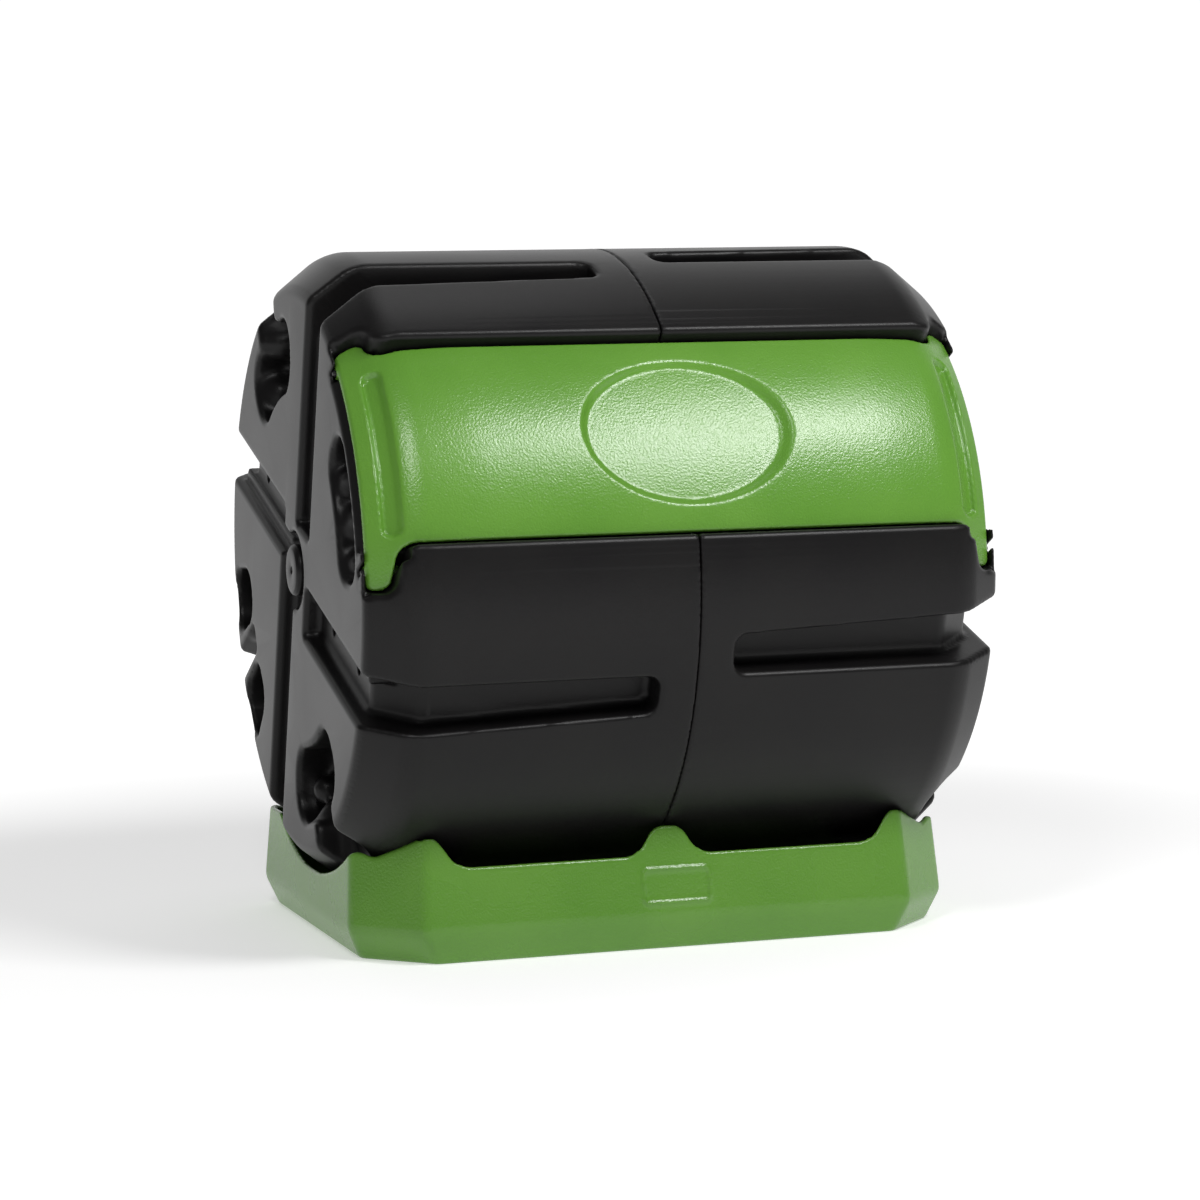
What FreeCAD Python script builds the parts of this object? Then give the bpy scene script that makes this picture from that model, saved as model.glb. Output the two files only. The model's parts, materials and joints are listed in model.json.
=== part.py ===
import FreeCAD, Part
import math
import os
import re
import Sketcher

# Compost tumbler: a black drum of two hollow halves with a lift-off green door, lying on four
# rollers in a green tray. X runs along the drum's axis, the door faces -Y and Z is up. The origin
# is on the ground under the middle of the tray.

doc = FreeCAD.newDocument("CompostTumbler")
sheet = doc.addObject("Spreadsheet::Sheet", "Sizes")

# Every driving dimension: its name, its value in mm or degrees, and what it is.
SIZES = {
    # drum
    "barrel_radius": (290, "outside radius of the barrel between its grooves"),
    "half_length": (294, "from the seam to an end face"),
    "chamfer_length": (41, "end chamfer, along the axis"),
    "end_radius": (257.5, "radius of the end face"),
    "wall": (4, "thickness of the moulded wall"),
    "axle_height": (339, "height of the drum's axis above the ground"),
    "door_tilt": (28, "how far the door's middle is turned up from the front"),
    # pinwheel of grooves
    "groove_tip": (34, "from the seam to a groove's inner end"),
    "groove_tip_width": (35, "width of a groove at its inner end"),
    "groove_width": (47, "width of a groove at the end face"),
    "groove_depth": (29, "depth of a groove in the barrel"),
    "slot_depth": (17, "depth of a slot in the end face"),
    "slot_inner": (46, "from the axis to a slot's inner end"),
    "notch_width": (26, "width of the narrow groove opposite the door"),
    "notch_inner": (186, "from the axis to the narrow groove's inner end"),
    "tip_corner": (9, "corner cut off a groove's inner end"),
    # hand-holds
    "hold_depth": (40, "depth of a hand-hold"),
    "door_hold_ring": (200, "from the axis to the middle of the hand-hold by the door"),
    "door_hold_reach": (64, "half the length of the hand-hold by the door"),
    "door_hold_width": (55, "width of the hand-hold by the door"),
    "hold_ring": (198, "from the axis to the middle of a large hand-hold"),
    "hold_reach": (72, "half the length of a large hand-hold"),
    "hold_width": (68, "width of a large hand-hold"),
    "small_hold_ring": (221, "from the axis to the middle of a small hand-hold"),
    "small_hold_reach": (28, "half the length of a small hand-hold"),
    "small_hold_width": (70, "width of a small hand-hold"),
    "channel_width": (60, "width of the channel from a hand-hold to the rim"),
    # hub
    "hub_recess_radius": (36, "round recess about the hub plug"),
    "hub_recess_depth": (12, "depth of that recess"),
    "hub_radius": (24, "radius of the hub plug's head"),
    "hub_proud": (3, "how far the plug stands out past the end face"),
    "hub_shank": (12, "radius of the plug's shank"),
    "air_hole": (2.5, "radius of the hub plug's air hole"),
    "vent_radius": (4.5, "radius of an air hole in a slot"),
    # door and its seat
    "door_radius": (279, "outside radius of the door"),
    "door_wall": (6, "thickness of the door"),
    "door_bend": (250, "from the seam to where the door bends down"),
    "door_end": (289, "from the seam to the door's end"),
    "door_end_radius": (248, "outside radius of the door at its end"),
    "door_half": (19.5, "half the angle that the door covers"),
    "horn_inner": (263, "from the seam to the inner side of a horn"),
    "lower_horn": (28.2, "angle from the door's middle to a lower horn's tip"),
    "upper_horn": (25, "angle from the door's middle to an upper horn's tip"),
    "seat_gap": (0.3, "gap between the door and its seat"),
    "edge_gap": (0.5, "angle between the door's edges and the pads"),
    "rail_top": (253, "radius of the rail beside the door's end"),
    "opening_half": (15.5, "half the angle of the loading opening"),
    "opening_end": (228, "from the seam to the end of the loading opening"),
    # oval field and end grips of the door
    "oval_length": (92, "half the length of the oval field"),
    "oval_width": (68, "half the width of the oval field"),
    "oval_depth": (2.5, "depth of the oval field"),
    "grip_inner": (257, "from the seam to the inner side of a grip"),
    "grip_outer": (276, "from the seam to the outer side of a grip"),
    "grip_half": (16, "half the angle of a grip"),
    "grip_depth": (3.2, "depth of a grip"),
    # catch pins
    "catch_radius": (3, "radius of a catch pin"),
    "catch_ring": (240, "from the axis to a catch pin"),
    "catch_boss": (6, "radius of the boss round a catch pin"),
    "catch_nose": (292, "from the seam to a catch pin's nose"),
    "catch_back": (274, "from the seam to a catch pin's back end"),
    "catch_bottom": (264, "from the seam to the bottom of its bore"),
    "boss_inner": (258, "from the seam to the inner end of a catch boss"),
    "lower_catch": (24.6, "angle from the door's middle to a lower catch"),
    "upper_catch": (21.6, "angle from the door's middle to an upper catch"),
    "spring_length": (9.5, "length of a catch spring in its bore"),
    "running_gap": (0.08, "gap round a pin that turns or slides"),
    # seam flange and its screws
    "flange_depth": (26, "width of the flange inside the seam"),
    "flange_wall": (5, "thickness of a flange"),
    "flange_start": (26, "angle from the door's middle to the flange's end"),
    "screw_ring": (271, "from the axis to a seam screw"),
    "screw_radius": (2.5, "radius of a seam screw"),
    # tray
    "tray_height": (112, "height of the tray's corner peaks"),
    "tray_low_rim": (85, "height of the low stretches of the rim"),
    "tray_waist": (28, "height of the fold round the tray"),
    "tray_wall": (4, "thickness of the tray"),
    "tray_length_foot": (273, "half the tray's length at the ground"),
    "tray_width_foot": (192, "half the tray's width at the ground"),
    "tray_length_waist": (285, "half the tray's length at the fold"),
    "tray_width_waist": (200, "half the tray's width at the fold"),
    "tray_length_top": (280, "half the tray's length at the top"),
    "tray_width_top": (188, "half the tray's width at the top"),
    "tray_corner": (56, "how much of each front corner is cut off, each way"),
    "tray_back_corner": (9, "how much of each back corner is cut off, each way"),
    "tray_clear": (292.5, "radius kept free of the tray round the drum"),
    "tray_scallop": (281, "radius of the hollow in the tray's ends"),
    # rollers
    "roller_radius": (25, "radius of a roller"),
    "roller_half": (17, "half the width of a roller"),
    "roller_place": (200, "from the seam to the middle of a roller"),
    "roller_gap": (0.3, "gap between a roller and the drum"),
    "roller_spread": (148, "from the drum's axis plane to a roller's axle"),
    "axle_radius": (4, "radius of a roller's axle"),
    "axle_half": (28, "half the length of a roller's axle"),
    "cheek_gap": (1.5, "gap between a roller and its cheeks"),
    "cheek_wall": (6, "thickness of a cheek"),
}

for row, (alias, (value, note)) in enumerate(SIZES.items(), start=1):
    sheet.set("A%d" % row, alias)
    sheet.set("B%d" % row, str(value))
    sheet.set("C%d" % row, note)
    sheet.setAlias("B%d" % row, alias)
doc.recompute()

ALIASES = re.compile(r"\b(" + "|".join(SIZES) + r")\b")
X_AXIS = FreeCAD.Vector(1, 0, 0)
Y_AXIS = FreeCAD.Vector(0, 1, 0)
Z_AXIS = FreeCAD.Vector(0, 0, 1)
ORIGIN = FreeCAD.Vector(0, 0, 0)
LEFT, RIGHT = -1, 1
SIDE_NAMES = {LEFT: "left", RIGHT: "right"}
nodes = []


def bound(expression):
    """Point each alias in an expression at the spreadsheet."""
    return ALIASES.sub(r"Sizes.\1", expression)


def size(expression):
    """Work out a spreadsheet expression as a number."""
    return float(sheet.evalExpression(bound(expression)))


def turned_about_x(angle):
    """The placement that turns the drum's frame from the door's middle to another angle."""
    return FreeCAD.Placement(ORIGIN, FreeCAD.Rotation(X_AXIS, -angle))


def draw(sketch, corners):
    """Draw a closed outline whose corners are pairs of spreadsheet expressions."""
    points = [FreeCAD.Vector(size(across), size(up), 0) for across, up in corners]
    for start, end in zip(points, points[1:] + points[:1]):
        sketch.addGeometry(Part.LineSegment(start, end), False)
    for index, corner in enumerate(corners):
        following = (index + 1) % len(corners)
        sketch.addConstraint(Sketcher.Constraint("Coincident", index, 2, following, 1))
        for kind, expression in zip(("DistanceX", "DistanceY"), corner):
            rule = Sketcher.Constraint(kind, -1, 1, index, 1, size(expression))
            number = sketch.addConstraint(rule)
            sketch.setExpression("Constraints[%d]" % number, bound(expression))


def outline(name, corners, placement=FreeCAD.Placement()):
    """A free sketch with one closed outline."""
    sketch = doc.addObject("Sketcher::SketchObject", name)
    draw(sketch, corners)
    sketch.Placement = placement
    return sketch


def extruded(name, corners, placement, length, both_ways=False):
    """A prism: an outline pushed along its own normal."""
    solid = doc.addObject("Part::Extrusion", name)
    solid.Base = outline(name + "_outline", corners, placement)
    solid.DirMode = "Normal"
    solid.Solid = True
    solid.Symmetric = both_ways
    solid.setExpression("LengthFwd", bound(length))
    return solid


def revolved(name, corners, start=0.0, sweep=360.0):
    """A turned form about the X axis, from one angle from the door's middle to another.

    Corners are (along the axis, radius) pairs.
    """
    solid = doc.addObject("Part::Revolution", name)
    solid.Source = outline(name + "_outline", corners, RADIAL_PLANE)
    solid.Axis = X_AXIS
    solid.Base = ORIGIN
    solid.Solid = True
    solid.Angle = sweep
    if sweep < 360:
        solid.Source.Placement = turned_about_x(start + sweep).multiply(RADIAL_PLANE)
    return solid


def cylinder(name, radius, length, placement):
    """A cylinder along X that starts at its placement."""
    solid = doc.addObject("Part::Cylinder", name)
    solid.setExpression("Radius", bound(radius))
    solid.setExpression("Height", bound(length))
    solid.Placement = placement.multiply(ALONG_X)
    return solid


def joined(name, solids):
    """One solid from several."""
    whole = doc.addObject("Part::MultiFuse", name)
    whole.Shapes = solids
    whole.Refine = True
    return whole


def cut(name, base, tool):
    """A solid with another taken away."""
    rest = doc.addObject("Part::Cut", name)
    rest.Base = base
    rest.Tool = tool
    return rest


def shared(name, first, second):
    """What two solids have in common."""
    common = doc.addObject("Part::Common", name)
    common.Base = first
    common.Tool = second
    return common


def node(thing, label, placement):
    """Name a finished sub-part and put it in its place."""
    thing.Label = label
    thing.Placement = placement
    nodes.append(thing)
    return thing


RADIAL_PLANE = FreeCAD.Placement(ORIGIN, FreeCAD.Rotation(X_AXIS, 90))
ACROSS = FreeCAD.Rotation(Y_AXIS, Z_AXIS, X_AXIS, "ZXY")
ALONG_X = FreeCAD.Placement(ORIGIN, FreeCAD.Rotation(Y_AXIS, 90))
DRUM = FreeCAD.Placement(
    FreeCAD.Vector(0, 0, size("axle_height")),
    FreeCAD.Rotation(X_AXIS, 90 - size("door_tilt")),
)


def on_ring(along, ring, angle):
    """A place in the drum's frame: along the axis, out from it, and round from the door."""
    return turned_about_x(angle).multiply(
        FreeCAD.Placement(FreeCAD.Vector(along, 0, ring), FreeCAD.Rotation())
    )


# The drum -----------------------------------------------------------------------------------

# The catch pins sit at these angles from the door's middle.
CATCH_ANGLES = ("-lower_catch", "upper_catch")

# Grooves sit at these angles from the door's middle. Each lies wholly on one side of its line,
# clockwise seen from its own end, so that the four wide ones make a pinwheel.
WIDE_GROOVES = (45, 135, 225, 315)
NOTCH_ANGLE = 180

# The hand-holds and the channels that lead out of two of them, round from the door's middle.
HAND_HOLDS = ((-9, "door_hold"), (83, "hold"), (261, "hold"), (163, "small_hold"), (190, "small_hold"))
CHANNEL_ANGLES = (84, 265)


def groove(name, side, angle, widths, inner, grow):
    """One groove: along the barrel, over the end chamfer and down the end face to the hub."""
    tip_width, end_width = widths
    tip = f"{side}*(groove_tip-{grow})"
    bevel = f"{side}*(groove_tip-{grow}+tip_corner)"
    end = f"{side}*(half_length+wall)"
    near = f"{-side}*{grow}"
    near_corner = f"{-side}*({grow}-tip_corner)"
    far_tip = f"{side}*({tip_width}+{grow})"
    far_corner = f"{side}*({tip_width}+{grow}-tip_corner)"
    far_end = f"{side}*({end_width}+{grow})"
    plan = [(tip, near_corner), (bevel, near), (end, near), (end, far_end),
            (bevel, far_tip), (tip, far_corner)]
    floor = f"barrel_radius-groove_depth-{grow}"
    slot_floor = f"{side}*(half_length-slot_depth-{grow})"
    shoulder = f"{side}*(half_length-slot_depth-{grow}-chamfer_length+wall)"
    profile = [(f"{side}*(groove_tip-wall-wall)", floor), (shoulder, floor),
               (slot_floor, f"end_radius-groove_depth-{grow}"),
               (slot_floor, f"{inner}-{grow}"), (end, f"{inner}-{grow}"),
               (end, "barrel_radius+wall"), (f"{side}*(groove_tip-wall-wall)", "barrel_radius+wall")]
    turn = turned_about_x(angle)
    planned = extruded(name + "_plan", plan, turn, "barrel_radius+2*wall")
    profiled = extruded(name + "_profile", profile, turn.multiply(RADIAL_PLANE),
                        "4*groove_width", both_ways=True)
    return shared(name, planned, profiled)


def hand_hold(name, side, angle, kind, grow):
    """An elongated pocket in the end face, along the rim."""
    depth = f"{side}*(half_length-hold_depth-{grow})"
    end = f"{side}*(half_length+wall)"
    low = f"{kind}_ring-{kind}_width/2-{grow}"
    high = f"{kind}_ring+{kind}_width/2+{grow}"
    corners = [(depth, low), (end, low), (end, high), (depth, high)]
    half_sweep = math.degrees(size(f"({kind}_reach+{grow})/{kind}_ring"))
    return revolved(name, corners, angle - half_sweep, 2 * half_sweep)


def channel(name, side, angle, grow):
    """The channel that runs from a hand-hold out to the rim."""
    depth = f"{side}*(half_length-hold_depth-{grow})"
    end = f"{side}*(half_length+wall)"
    corners = [(depth, "hold_ring"), (end, "hold_ring"),
               (end, "barrel_radius+wall"), (depth, "barrel_radius+wall")]
    half_sweep = math.degrees(size(f"(channel_width/2+{grow})/end_radius"))
    return revolved(name, corners, angle - half_sweep, 2 * half_sweep)


def door_seat(name, side, grow):
    """The recess that the door lies in, with the deeper strip that takes the horns' bosses."""
    gap = f"(door_wall+seat_gap+{grow})"
    slope = "(door_radius-door_end_radius)/(door_end-door_bend)"
    seat = f"door_radius-{gap}"
    bend = f"{side}*(door_bend-0.35*{gap})"
    end = f"{side}*(door_end+1+{grow})"
    end_seat = f"door_radius-1.32*{gap}-{slope}*(door_end+1+{grow}-door_bend)"
    across = f"{-side}*wall"
    high = "barrel_radius+wall"
    middle = revolved(name + "_middle", [(across, seat), (bend, seat), (end, end_seat),
                                         (end, high), (across, high)],
                      -size("door_half+edge_gap") - math.degrees(size(f"{grow}/door_radius")),
                      2 * (size("door_half+edge_gap") + math.degrees(size(f"{grow}/door_radius"))))
    inner = f"{side}*(boss_inner-1.5-{grow})"
    floor = f"catch_ring-catch_boss-1-{grow}"
    spread = math.degrees(size(f"{grow}/catch_ring")) + size("edge_gap")
    horns = revolved(name + "_horns", [(inner, floor), (end, floor), (end, high), (inner, high)],
                     -size("lower_horn") - spread,
                     size("lower_horn+upper_horn") + 2 * spread)
    return [middle, horns]


def drum_form(name, side, grow):
    """One half of the drum as a solid or, grown by the wall, the hollow inside it."""
    seam = f"{-side}*{grow}"
    barrel_end = f"{side}*(half_length-chamfer_length-0.35*{grow})"
    end = f"{side}*(half_length-{grow})"
    body = revolved(name + "_body", [(seam, "0"), (end, "0"), (end, f"end_radius-0.49*{grow}"),
                                     (barrel_end, f"barrel_radius-{grow}"),
                                     (seam, f"barrel_radius-{grow}")])
    tools = door_seat(name + "_seat", side, grow)
    for angle in WIDE_GROOVES:
        tools.append(groove(f"{name}_groove_{angle}", side, angle,
                            ("groove_tip_width", "groove_width"), "slot_inner", grow))
    tools.append(groove(f"{name}_notch", side, NOTCH_ANGLE,
                        ("notch_width", "notch_width"), "notch_inner", grow))
    for index, (angle, kind) in enumerate(HAND_HOLDS):
        tools.append(hand_hold(f"{name}_hold_{index}", side, -side * angle, kind, grow))
    for index, angle in enumerate(CHANNEL_ANGLES):
        tools.append(channel(f"{name}_channel_{index}", side, -side * angle, grow))
    recess = f"hub_recess_radius+{grow}"
    tools.append(revolved(name + "_hub", [(f"{side}*(half_length-hub_recess_depth-{grow})", "0"),
                                          (f"{side}*(half_length+wall)", "0"),
                                          (f"{side}*(half_length+wall)", recess),
                                          (f"{side}*(half_length-hub_recess_depth-{grow})", recess)]))
    return cut(name, body, joined(name + "_tools", tools))


def seam_angles():
    """The angles of the seam screws, evenly round the flange, clear of the door."""
    first = size("flange_start") + 8
    count = 11
    return [first + index * (360 - 2 * first) / (count - 1) for index in range(count)]


def drum_half(side):
    """A hollow moulding with its flange, screw holes, hub hole, air holes and loading opening."""
    name = "half_" + SIDE_NAMES[side]
    shell = cut(name + "_shell", drum_form(name + "_outer", side, "0"),
                drum_form(name + "_inner", side, "wall"))
    flange_start = size("flange_start")
    ring = [("0", "barrel_radius-flange_depth"), (f"{side}*flange_wall", "barrel_radius-flange_depth"),
            (f"{side}*flange_wall", "barrel_radius-wall/2"), ("0", "barrel_radius-wall/2")]
    flange = revolved(name + "_flange", ring, flange_start, 360 - 2 * flange_start)
    opening = revolved(name + "_opening",
                       [(f"{-side}", "end_radius"), (f"{side}*opening_end", "end_radius"),
                        (f"{side}*opening_end", "barrel_radius"), (f"{-side}", "barrel_radius")],
                       -size("opening_half"), 2 * size("opening_half"))
    holes = [opening]
    start = min(0, side) * size("flange_wall+2")
    for index, angle in enumerate(seam_angles()):
        place = on_ring(start - 1, size("screw_ring"), angle)
        holes.append(cylinder(f"{name}_screw_hole_{index}", "screw_radius+0.2", "flange_wall+4", place))
    outer_end = side * size("half_length")
    hub_start = min(outer_end, outer_end - side * size("hub_recess_depth+3*wall"))
    holes.append(cylinder(name + "_hub_hole", "hub_shank+running_gap", "hub_recess_depth+3*wall",
                          on_ring(hub_start, 0, 0)))
    slot_start = outer_end - side * size("slot_depth+2*wall")
    for angle in WIDE_GROOVES:
        for index, ring_radius in enumerate((95, 185)):
            middle = math.degrees(math.asin(size("groove_width/2") / ring_radius))
            place = on_ring(min(slot_start, outer_end), ring_radius, angle + side * middle)
            holes.append(cylinder(f"{name}_vent_{angle}_{index}", "vent_radius",
                                  "slot_depth+2*wall", place))
    rail_cut = [(f"{side}*(door_end+1)", "rail_top"), (f"{side}*(half_length+1)", "rail_top"),
                (f"{side}*(half_length+1)", "barrel_radius"), (f"{side}*(door_end+1)", "barrel_radius")]
    holes.append(revolved(name + "_rail", rail_cut, -size("lower_horn") - 1,
                          size("lower_horn+upper_horn") + 2))
    for index, angle in enumerate(CATCH_ANGLES):
        middle = f"catch_ring*sin({angle})"
        low = f"catch_ring*cos({angle})-catch_radius-running_gap"
        slit = [(f"{middle}-catch_radius-running_gap", low), (f"{middle}+catch_radius+running_gap", low),
                (f"{middle}+catch_radius+running_gap", "barrel_radius"),
                (f"{middle}-catch_radius-running_gap", "barrel_radius")]
        start = min(side * size("door_end-1"), side * size("catch_nose+0.5"))
        place = FreeCAD.Placement(FreeCAD.Vector(start, 0, 0), ACROSS)
        holes.append(extruded(f"{name}_slit_{index}", slit, place, "catch_nose+1.5-door_end"))
    whole = cut(name, joined(name + "_flanged", [shell, flange]), joined(name + "_holes", holes))
    return node(whole, "drum_half_" + SIDE_NAMES[side], DRUM)


# The door -----------------------------------------------------------------------------------

SLOPE = "(door_radius-door_end_radius)/(door_end-door_bend)"


def door_skin():
    """The curved panel, bent down at both ends."""
    under_bend = "(door_bend-0.35*door_wall)"
    under_end = f"door_radius-1.32*door_wall-{SLOPE}*(door_end-door_bend)"
    corners = [("-door_end", under_end), (f"-{under_bend}", "door_radius-door_wall"),
               (under_bend, "door_radius-door_wall"), ("door_end", under_end),
               ("door_end", "door_end_radius"), ("door_bend", "door_radius"),
               ("-door_bend", "door_radius"), ("-door_end", "door_end_radius")]
    return revolved("door_skin", corners, -size("door_half"), 2 * size("door_half"))


def horn_pair(side):
    """The sloping end strip that runs past the panel as a lower and an upper horn."""
    top = f"door_radius-{SLOPE}*(horn_inner-door_bend)"
    corners = [(f"{side}*horn_inner", top + "-1.32*door_wall"),
               (f"{side}*door_end", "door_end_radius-1.32*door_wall"),
               (f"{side}*door_end", "door_end_radius"), (f"{side}*horn_inner", top)]
    return revolved("door_horns_" + SIDE_NAMES[side], corners, -size("lower_horn"),
                    size("lower_horn+upper_horn"))


def catch_place(side, along, angle):
    """A place on a catch pin's axis whose own X runs away from the seam."""
    ring = turned_about_x(size(angle)).multVec(FreeCAD.Vector(0, 0, size("catch_ring")))
    facing = FreeCAD.Rotation(Z_AXIS, 0 if side == RIGHT else 180)
    return FreeCAD.Placement(FreeCAD.Vector(side * size(along), ring.y, ring.z), facing)


def end_grip(side):
    """The long finger trough along one end of the door."""
    inner_top = f"door_radius-{SLOPE}*(grip_inner-door_bend)"
    outer_top = f"door_radius-{SLOPE}*(grip_outer-door_bend)"
    corners = [(f"{side}*(grip_inner+grip_depth)", f"{inner_top}-1.5*grip_depth"),
               (f"{side}*(grip_outer-grip_depth)", f"{outer_top}-grip_depth/2"),
               (f"{side}*grip_outer", f"{outer_top}+grip_depth"),
               (f"{side}*grip_inner", f"{inner_top}+grip_depth")]
    return revolved("door_grip_" + SIDE_NAMES[side], corners, -size("grip_half"), 2 * size("grip_half"))


def door_panel():
    """The door: skin, horns with bored bosses under them, oval field and end grips."""
    solids = [door_skin()]
    tools = []
    for side in (LEFT, RIGHT):
        solids.append(horn_pair(side))
        tools.append(end_grip(side))
        for index, angle in enumerate(CATCH_ANGLES):
            name = f"door_{SIDE_NAMES[side]}_{index}"
            solids.append(cylinder(name + "_boss", "catch_boss", "door_end-boss_inner",
                                   catch_place(side, "boss_inner", angle)))
            tools.append(cylinder(name + "_bore", "catch_radius+running_gap",
                                  "door_end-catch_bottom+1", catch_place(side, "catch_bottom", angle)))
    oval = doc.addObject("Part::Ellipse", "door_oval_rim")
    oval.setExpression("MajorRadius", bound("oval_length"))
    oval.setExpression("MinorRadius", bound("oval_width"))
    column = doc.addObject("Part::Extrusion", "door_oval_column")
    column.Base = oval
    column.Dir = Z_AXIS
    column.DirMode = "Custom"
    column.Solid = True
    column.setExpression("LengthFwd", bound("door_radius+oval_depth"))
    field = "door_radius-oval_depth"
    sleeve = revolved("door_oval_sleeve", [("-oval_length", field), ("oval_length", field),
                                           ("oval_length", "barrel_radius"),
                                           ("-oval_length", "barrel_radius")],
                      -size("door_half"), 2 * size("door_half"))
    tools.append(shared("door_oval", column, sleeve))
    panel = cut("door", joined("door_whole", solids), joined("door_tools", tools))
    return node(panel, "door_panel", DRUM)


# Turned pieces ------------------------------------------------------------------------------

def turned(name, corners, placement):
    """A body turned about its own X axis: corners are (along the axis, radius) pairs."""
    body = doc.addObject("PartDesign::Body", name + "_body")
    sketch = body.newObject("Sketcher::SketchObject", name + "_section")
    plane = next(part for part in body.Origin.OriginFeatures if part.Role == "XY_Plane")
    sketch.AttachmentSupport = [(plane, "")]
    sketch.MapMode = "FlatFace"
    draw(sketch, corners)
    turning = body.newObject("PartDesign::Revolution", name + "_turning")
    turning.Profile = sketch
    turning.ReferenceAxis = (sketch, ["H_Axis"])
    turning.Angle = 360
    body.Tip = turning
    sketch.Visibility = False
    return node(body, name, placement)


def catch_pin(side, index, angle):
    """A round-nosed pin that slides in its boss."""
    name = f"catch_pin_{('lower', 'upper')[index]}_{SIDE_NAMES[side]}"
    long = "catch_nose-catch_back"
    turned(name, [("0", "0"), (long, "0"), (long, "catch_radius/2"),
                  (f"{long}-catch_radius/2", "catch_radius"), ("0", "catch_radius")],
           DRUM.multiply(catch_place(side, "catch_back", angle)))


def catch_spring(side, index, angle):
    """The compression spring behind a catch pin, as the tube that its coils fill."""
    name = f"catch_spring_{('lower', 'upper')[index]}_{SIDE_NAMES[side]}"
    turned(name, [("0.2", "catch_radius*0.55"), ("spring_length", "catch_radius*0.55"),
                  ("spring_length", "catch_radius*0.9"), ("0.2", "catch_radius*0.9")],
           DRUM.multiply(catch_place(side, "catch_bottom", angle)))


def hub_plug(side):
    """The plug in the middle of an end, with a lip that holds it and an air hole through it."""
    head = "hub_recess_depth+hub_proud"
    back = "-wall-0.5"
    facing = FreeCAD.Rotation(Z_AXIS, 0 if side == RIGHT else 180)
    place = FreeCAD.Placement(FreeCAD.Vector(side * size("half_length-hub_recess_depth"), 0, 0), facing)
    turned("hub_plug_" + SIDE_NAMES[side],
           [(f"{back}-3", "air_hole"), (head, "air_hole"), (head, "hub_radius-1.5"),
            (f"{head}-1.5", "hub_radius"), ("0", "hub_radius"), ("0", "hub_shank"), (back, "hub_shank"),
            (back, "hub_shank+1"), (f"{back}-3", "hub_shank")],
           DRUM.multiply(place))


# A roller's axle lies as high as it takes to leave the roller's gap to the drum.
ROLLER_RISE = ("(axle_height-sqrt((barrel_radius+roller_gap+roller_radius)^2"
               "-roller_spread^2))")


def roller_places():
    """Name and place of each roller: front is -Y, left is -X."""
    for front, across in (("front", -1), ("back", 1)):
        for side in (LEFT, RIGHT):
            name = f"{front}_{SIDE_NAMES[side]}"
            yield name, FreeCAD.Vector(side * size("roller_place"), across * size("roller_spread"),
                                       size(ROLLER_RISE))


def roller_set(name, middle):
    """A roller, its headed axle and the push-on retainer at the axle's other end."""
    place = FreeCAD.Placement(middle, FreeCAD.Rotation())
    bore = "axle_radius+running_gap"
    turned("roller_" + name,
           [("-roller_half", bore), ("-roller_half", "axle_radius*2.2"),
            ("-roller_half+3", "axle_radius*2.4"), ("-roller_half+3", "roller_radius-4"),
            ("-roller_half", "roller_radius-3"), ("-roller_half", "roller_radius-1.5"),
            ("-roller_half+1.5", "roller_radius"), ("roller_half-1.5", "roller_radius"),
            ("roller_half", "roller_radius-1.5"), ("roller_half", "roller_radius-3"),
            ("roller_half-3", "roller_radius-4"), ("roller_half-3", "axle_radius*2.4"),
            ("roller_half", "axle_radius*2.2"), ("roller_half", bore)], place)
    turned("axle_" + name,
           [("-axle_half-2.5", "0"), ("axle_half+4", "0"), ("axle_half+4", "axle_radius-0.8"),
            ("axle_half+3.2", "axle_radius"), ("-axle_half", "axle_radius"),
            ("-axle_half", "axle_radius+2.5"), ("-axle_half-2.5", "axle_radius+1.5")], place)


# Fasteners: identical pieces, each a separate solid of one node -------------------------------

def group(label, solids, placement):
    """Several separate solids as one sub-part."""
    together = doc.addObject("Part::Compound", label + "_group")
    together.Links = solids
    return node(together, label, placement)


def retainers():
    """Push-on washers that keep the axles in the tray."""
    washers = []
    for name, middle in roller_places():
        start = FreeCAD.Placement(middle + FreeCAD.Vector(size("axle_half"), 0, 0), FreeCAD.Rotation())
        disc = cylinder("retainer_" + name, "axle_radius*1.9", "1.2", start)
        hole = cylinder("retainer_hole_" + name, "axle_radius", "1.2", start)
        washers.append(cut("retainer_ring_" + name, disc, hole))
    return group("axle_retainers", washers, FreeCAD.Placement())


def hexagon(name, across_flats, length, placement):
    """A hexagonal prism along X."""
    prism = doc.addObject("Part::Prism", name)
    prism.Polygon = 6
    prism.setExpression("Circumradius", bound(f"{across_flats}/2/cos(30)"))
    prism.setExpression("Height", bound(length))
    prism.Placement = placement.multiply(ALONG_X)
    return prism


def seam_fasteners():
    """Hexagon-headed screws through both flanges, and their nuts."""
    screws, nuts = [], []
    head = "screw_radius*1.4"
    for index, angle in enumerate(seam_angles()):
        left_face = -size("flange_wall")
        shank = cylinder(f"screw_shank_{index}", "screw_radius", "flange_wall*2+7",
                         on_ring(left_face, size("screw_ring"), angle))
        hexagonal = hexagon(f"screw_head_{index}", "screw_radius*3.2", head,
                            on_ring(left_face - size(head), size("screw_ring"), angle))
        screws.append(joined(f"screw_{index}", [shank, hexagonal]))
        nut = hexagon(f"nut_blank_{index}", "screw_radius*3.2", "screw_radius*1.6",
                      on_ring(-left_face, size("screw_ring"), angle))
        bore = cylinder(f"nut_bore_{index}", "screw_radius", "screw_radius*1.6",
                        on_ring(-left_face, size("screw_ring"), angle))
        nuts.append(cut(f"nut_{index}", nut, bore))
    group("seam_screws", screws, DRUM)
    group("seam_nuts", nuts, DRUM)


# The tray -----------------------------------------------------------------------------------

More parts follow.
